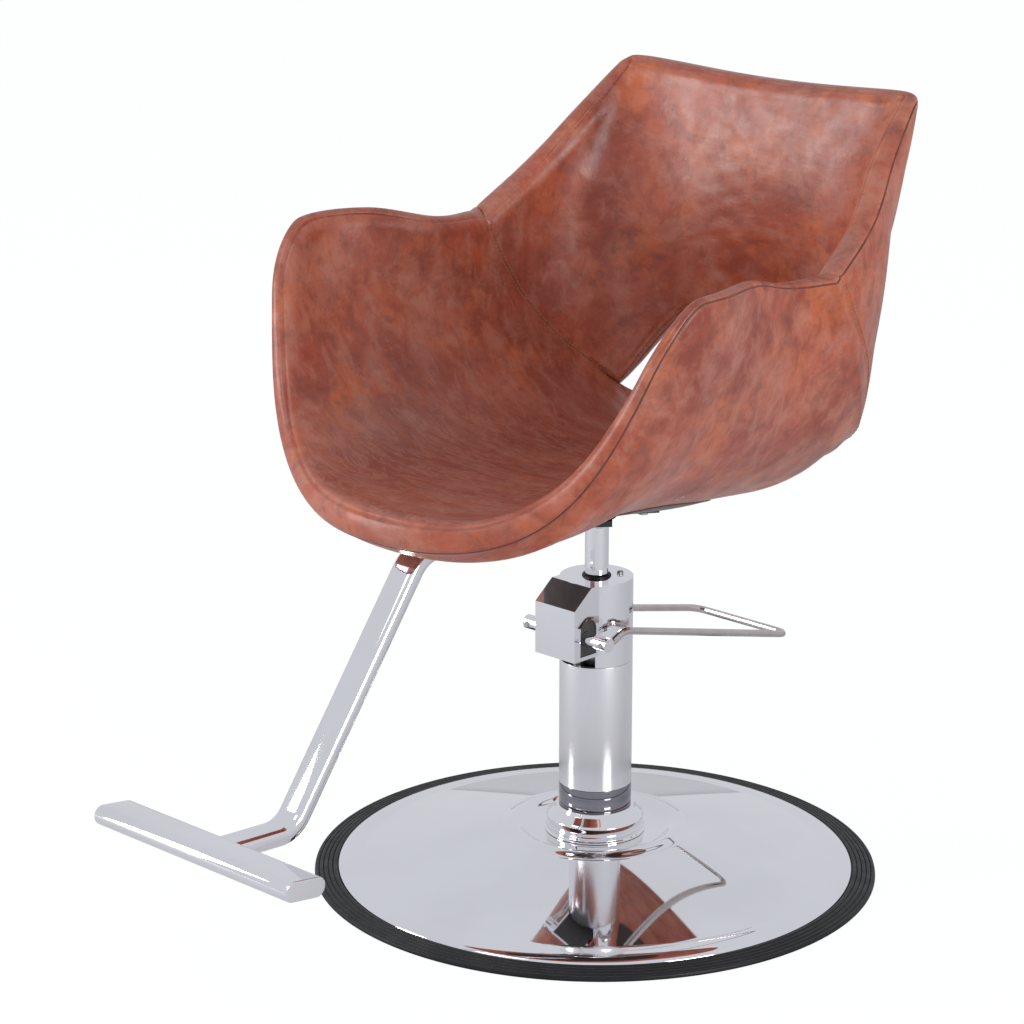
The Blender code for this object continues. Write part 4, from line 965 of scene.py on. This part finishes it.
def rubber_ring():
    """The ring's sloping top carries five ribs."""
    ribs, depth = 5, 1.0 * MM
    inside, ledge = DISH_RADIUS - 0.014, DISH_EDGE_Z - 0.8 * MM
    pitch = (RUBBER_RADIUS - RUBBER_INSIDE) / ribs
    profile = [(inside, 0), (RUBBER_RADIUS - 1 * MM, 0), (RUBBER_RADIUS, 0.8 * MM), (RUBBER_RADIUS, 2.2 * MM)]
    for k in range(ribs):
        outer = RUBBER_RADIUS - k * pitch
        top = RUBBER_EDGE + (RUBBER_TOP - RUBBER_EDGE) * k / (ribs - 1)
        for j in range(7):
            a = math.pi * j / 6
            profile.append((outer - pitch * (0.08 + 0.84 * (1 - math.cos(a)) / 2), top - depth * (1 - math.sin(a))))
    profile += [(RUBBER_INSIDE, ledge + 1 * MM), (RUBBER_INSIDE, ledge), (inside, ledge)]
    points, faces = turned(profile, 192)
    piece("rubber_trim_ring_ribbed", points, faces, LOOKS["rubber"], "base", 40, ("rubber_trim_ring",))


def flange_ring():
    low, high = lower("flange_ring").z, upper("flange_ring").z
    inner, foot = 49.3 * MM, upper("flange_ring").x
    ring = 51.5 * MM
    tube = 36.3 * MM
    outer = [
        (inner, low), (foot, low), (foot, low + 1.5 * MM), (ring, low + 2.5 * MM), (ring, low + 7.5 * MM),
        (ring - 0.7 * MM, low + 8.0 * MM), (ring, low + 8.5 * MM), (ring, 61 * MM),
        (ring - 1.5 * MM, 63 * MM), (43 * MM, 70 * MM), (41 * MM, high), (tube, high), (tube, 57 * MM), (inner, 57 * MM),
    ]
    points, faces = turned(rounded(outer, 0.5 * MM, 3), 128)
    piece("flange_ring_polished", points, faces, LOOKS["chrome"], "base", 35, ("flange_ring",))


def column_tube(name, node, look):
    low, high, radius = lower(node).z, upper(node).z, upper(node).x
    inner = radius - 2.2 * MM
    profile = rounded([(inner, low), (radius, low), (radius, high), (inner, high)], 0.4 * MM)
    points, faces = turned(profile, 128)
    piece(name, points, faces, LOOKS[look], "base", 35, (node,))


base_dish()
rubber_ring()
flange_ring()
column_tube("lower_collar_polished", "lower_collar", "dark_chrome")
column_tube("pump_sleeve_satin", "pump_sleeve", "satin_steel")


# Footrest

LEG_WIDTH = 33 * MM
LEG_THICKNESS = 18 * MM
LEG_PATH = [(-0.070, 0.4025), (-0.2605, 0.4085), (-0.437, 0.166), (-0.520, 0.170)]  # y and z
LEG_BEND = (0.040, 0.034)
BAR_WIDTH = 50 * MM
BAR_THICKNESS = 20 * MM
BAR_TILT = math.radians(7.5)
BAR_EDGE = 1.5 * MM


def footrest():
    path = filleted([(0, y, z) for y, z in LEG_PATH], LEG_BEND, 24)
    points, faces = swept(path, flat_oval(LEG_WIDTH, LEG_THICKNESS, 16, 2.6), (1, 0, 0))
    piece("footrest_leg_tube", points, faces, LOOKS["chrome"], "seat", 50, ("footrest_leg",))
    low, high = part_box("footrest_bar")
    y, z = (low.y + high.y) / 2, (low.z + high.z) / 2
    half = upper("bar_end_cap_left").x
    path, sections = [], []
    for k in range(-6, 8):
        turn = math.pi / 2 * (min(k, 0) + max(k - 1, 0)) / 6
        side = -1 if k < 1 else 1
        shrink = BAR_EDGE * (1 - math.cos(turn))
        path.append((side * (half - BAR_EDGE * (1 - abs(math.sin(turn)))), y, z))
        sections.append(flat_oval(BAR_WIDTH - 2 * shrink, BAR_THICKNESS - 2 * shrink, 16))
    tilt = (0, -math.cos(BAR_TILT), math.sin(BAR_TILT))
    points, faces = swept(path, sections, tilt)
    replaced = ("footrest_bar", "bar_end_cap_left", "bar_end_cap_right")
    piece("footrest_bar_tube", points, faces, LOOKS["chrome"], "seat", 50, replaced)


footrest()


# Finish of the CAD nodes that stay shown

BEVELLED = {"head_cover": 0.9 * MM, "lever_axle": 0.5 * MM, "rocker_cam": 0.5 * MM}
SLOT_OF = {row["node"]: row["material_slot"] for row in frame["record"]["subparts"]}
for node_name, node in frame["nodes"].items():
    node.data.materials.clear()
    node.data.materials.append(LOOKS[SLOT_OF[node_name]])
    if node_name in BEVELLED:
        edge = node.modifiers.new("soft_edges", "BEVEL")
        edge.width = BEVELLED[node_name]
        edge.segments = 3
        edge.limit_method = "ANGLE"
        edge.angle_limit = math.radians(40)
        edge.harden_normals = True


# Studio


def floor():
    """A pale floor: nearly white to the camera, with a faint soft shadow under the chair."""
    mesh = bpy.data.meshes.new("studio_floor")
    reach = 30.0
    corners = [(-reach, -reach, 0), (reach, -reach, 0), (reach, reach, 0), (-reach, reach, 0)]
    mesh.from_pydata(corners, [], [(0, 1, 2, 3)])
    made = bpy.data.materials.new("studio_floor")
    made.use_nodes = True
    tree = made.node_tree
    shader = tree.nodes["Principled BSDF"]
    shader.inputs["Base Color"].default_value = (0.64, 0.64, 0.655, 1)
    shader.inputs["Roughness"].default_value = 0.9
    shader.inputs["Specular IOR Level"].default_value = 0.1
    glow = tree.nodes.new("ShaderNodeEmission")
    glow.inputs["Color"].default_value = (0.995, 1.0, 1.0, 1)
    glow.inputs["Strength"].default_value = 1.04
    rays = tree.nodes.new("ShaderNodeLightPath")
    seen = tree.nodes.new("ShaderNodeMath")
    seen.operation = "MULTIPLY"
    seen.inputs[1].default_value = 0.92
    tree.links.new(rays.outputs["Is Camera Ray"], seen.inputs[0])
    blend = tree.nodes.new("ShaderNodeMixShader")
    tree.links.new(seen.outputs[0], blend.inputs[0])
    tree.links.new(shader.outputs[0], blend.inputs[1])
    tree.links.new(glow.outputs[0], blend.inputs[2])
    tree.links.new(blend.outputs[0], tree.nodes["Material Output"].inputs[0])
    mesh.materials.append(made)
    obj = bpy.data.objects.new("studio_floor", mesh)
    bpy.context.scene.collection.objects.link(obj)


def world():
    """White to the camera; an even light grey in reflections."""
    made = bpy.data.worlds.new("studio")
    bpy.context.scene.world = made
    made.use_nodes = True
    tree = made.node_tree
    background = tree.nodes["Background"]
    background.inputs["Color"].default_value = (0.93, 0.95, 1.0, 1)
    background.inputs["Strength"].default_value = 0.72
    white = tree.nodes.new("ShaderNodeBackground")
    white.inputs["Color"].default_value = (0.985, 0.995, 1.0, 1)
    rays = tree.nodes.new("ShaderNodeLightPath")
    blend = tree.nodes.new("ShaderNodeMixShader")
    tree.links.new(rays.outputs["Is Camera Ray"], blend.inputs[0])
    tree.links.new(background.outputs[0], blend.inputs[1])
    tree.links.new(white.outputs[0], blend.inputs[2])
    tree.links.new(blend.outputs[0], tree.nodes["World Output"].inputs[0])


def soft_light(name, place, target, size, power):
    data = bpy.data.lights.new(name, "AREA")
    data.shape = "RECTANGLE"
    data.size, data.size_y = size
    data.energy = power
    made = bpy.data.objects.new(name, data)
    made.location = place
    made.rotation_euler = (Vector(target) - Vector(place)).to_track_quat("-Z", "Y").to_euler()
    bpy.context.scene.collection.objects.link(made)


def camera():
    data = bpy.data.cameras.new("camera")
    data.lens = CAMERA_LENS
    made = bpy.data.objects.new("camera", data)
    back = Vector((
        math.sin(CAMERA_AZIMUTH) * math.cos(CAMERA_PITCH),
        -math.cos(CAMERA_AZIMUTH) * math.cos(CAMERA_PITCH),
        math.sin(CAMERA_PITCH),
    ))
    made.location = Vector(CAMERA_TARGET) + back * CAMERA_DISTANCE
    made.rotation_euler = back.to_track_quat("Z", "Y").to_euler()
    bpy.context.scene.collection.objects.link(made)
    bpy.context.scene.camera = made


floor()
world()
camera()
soft_light("key_light", (-0.6, -2.4, 3.3), (0, 0, 0.5), (1.2, 1.2), 18)
soft_light("strip_light", (-2.3, -2.5, 1.1), (0, 0.1, 0.6), (0.6, 1.8), 44)
soft_light("side_light", (3.4, -0.4, 1.0), (0, 0, 0.5), (1.2, 1.4), 46)
bpy.context.scene.view_settings.view_transform = "Standard"
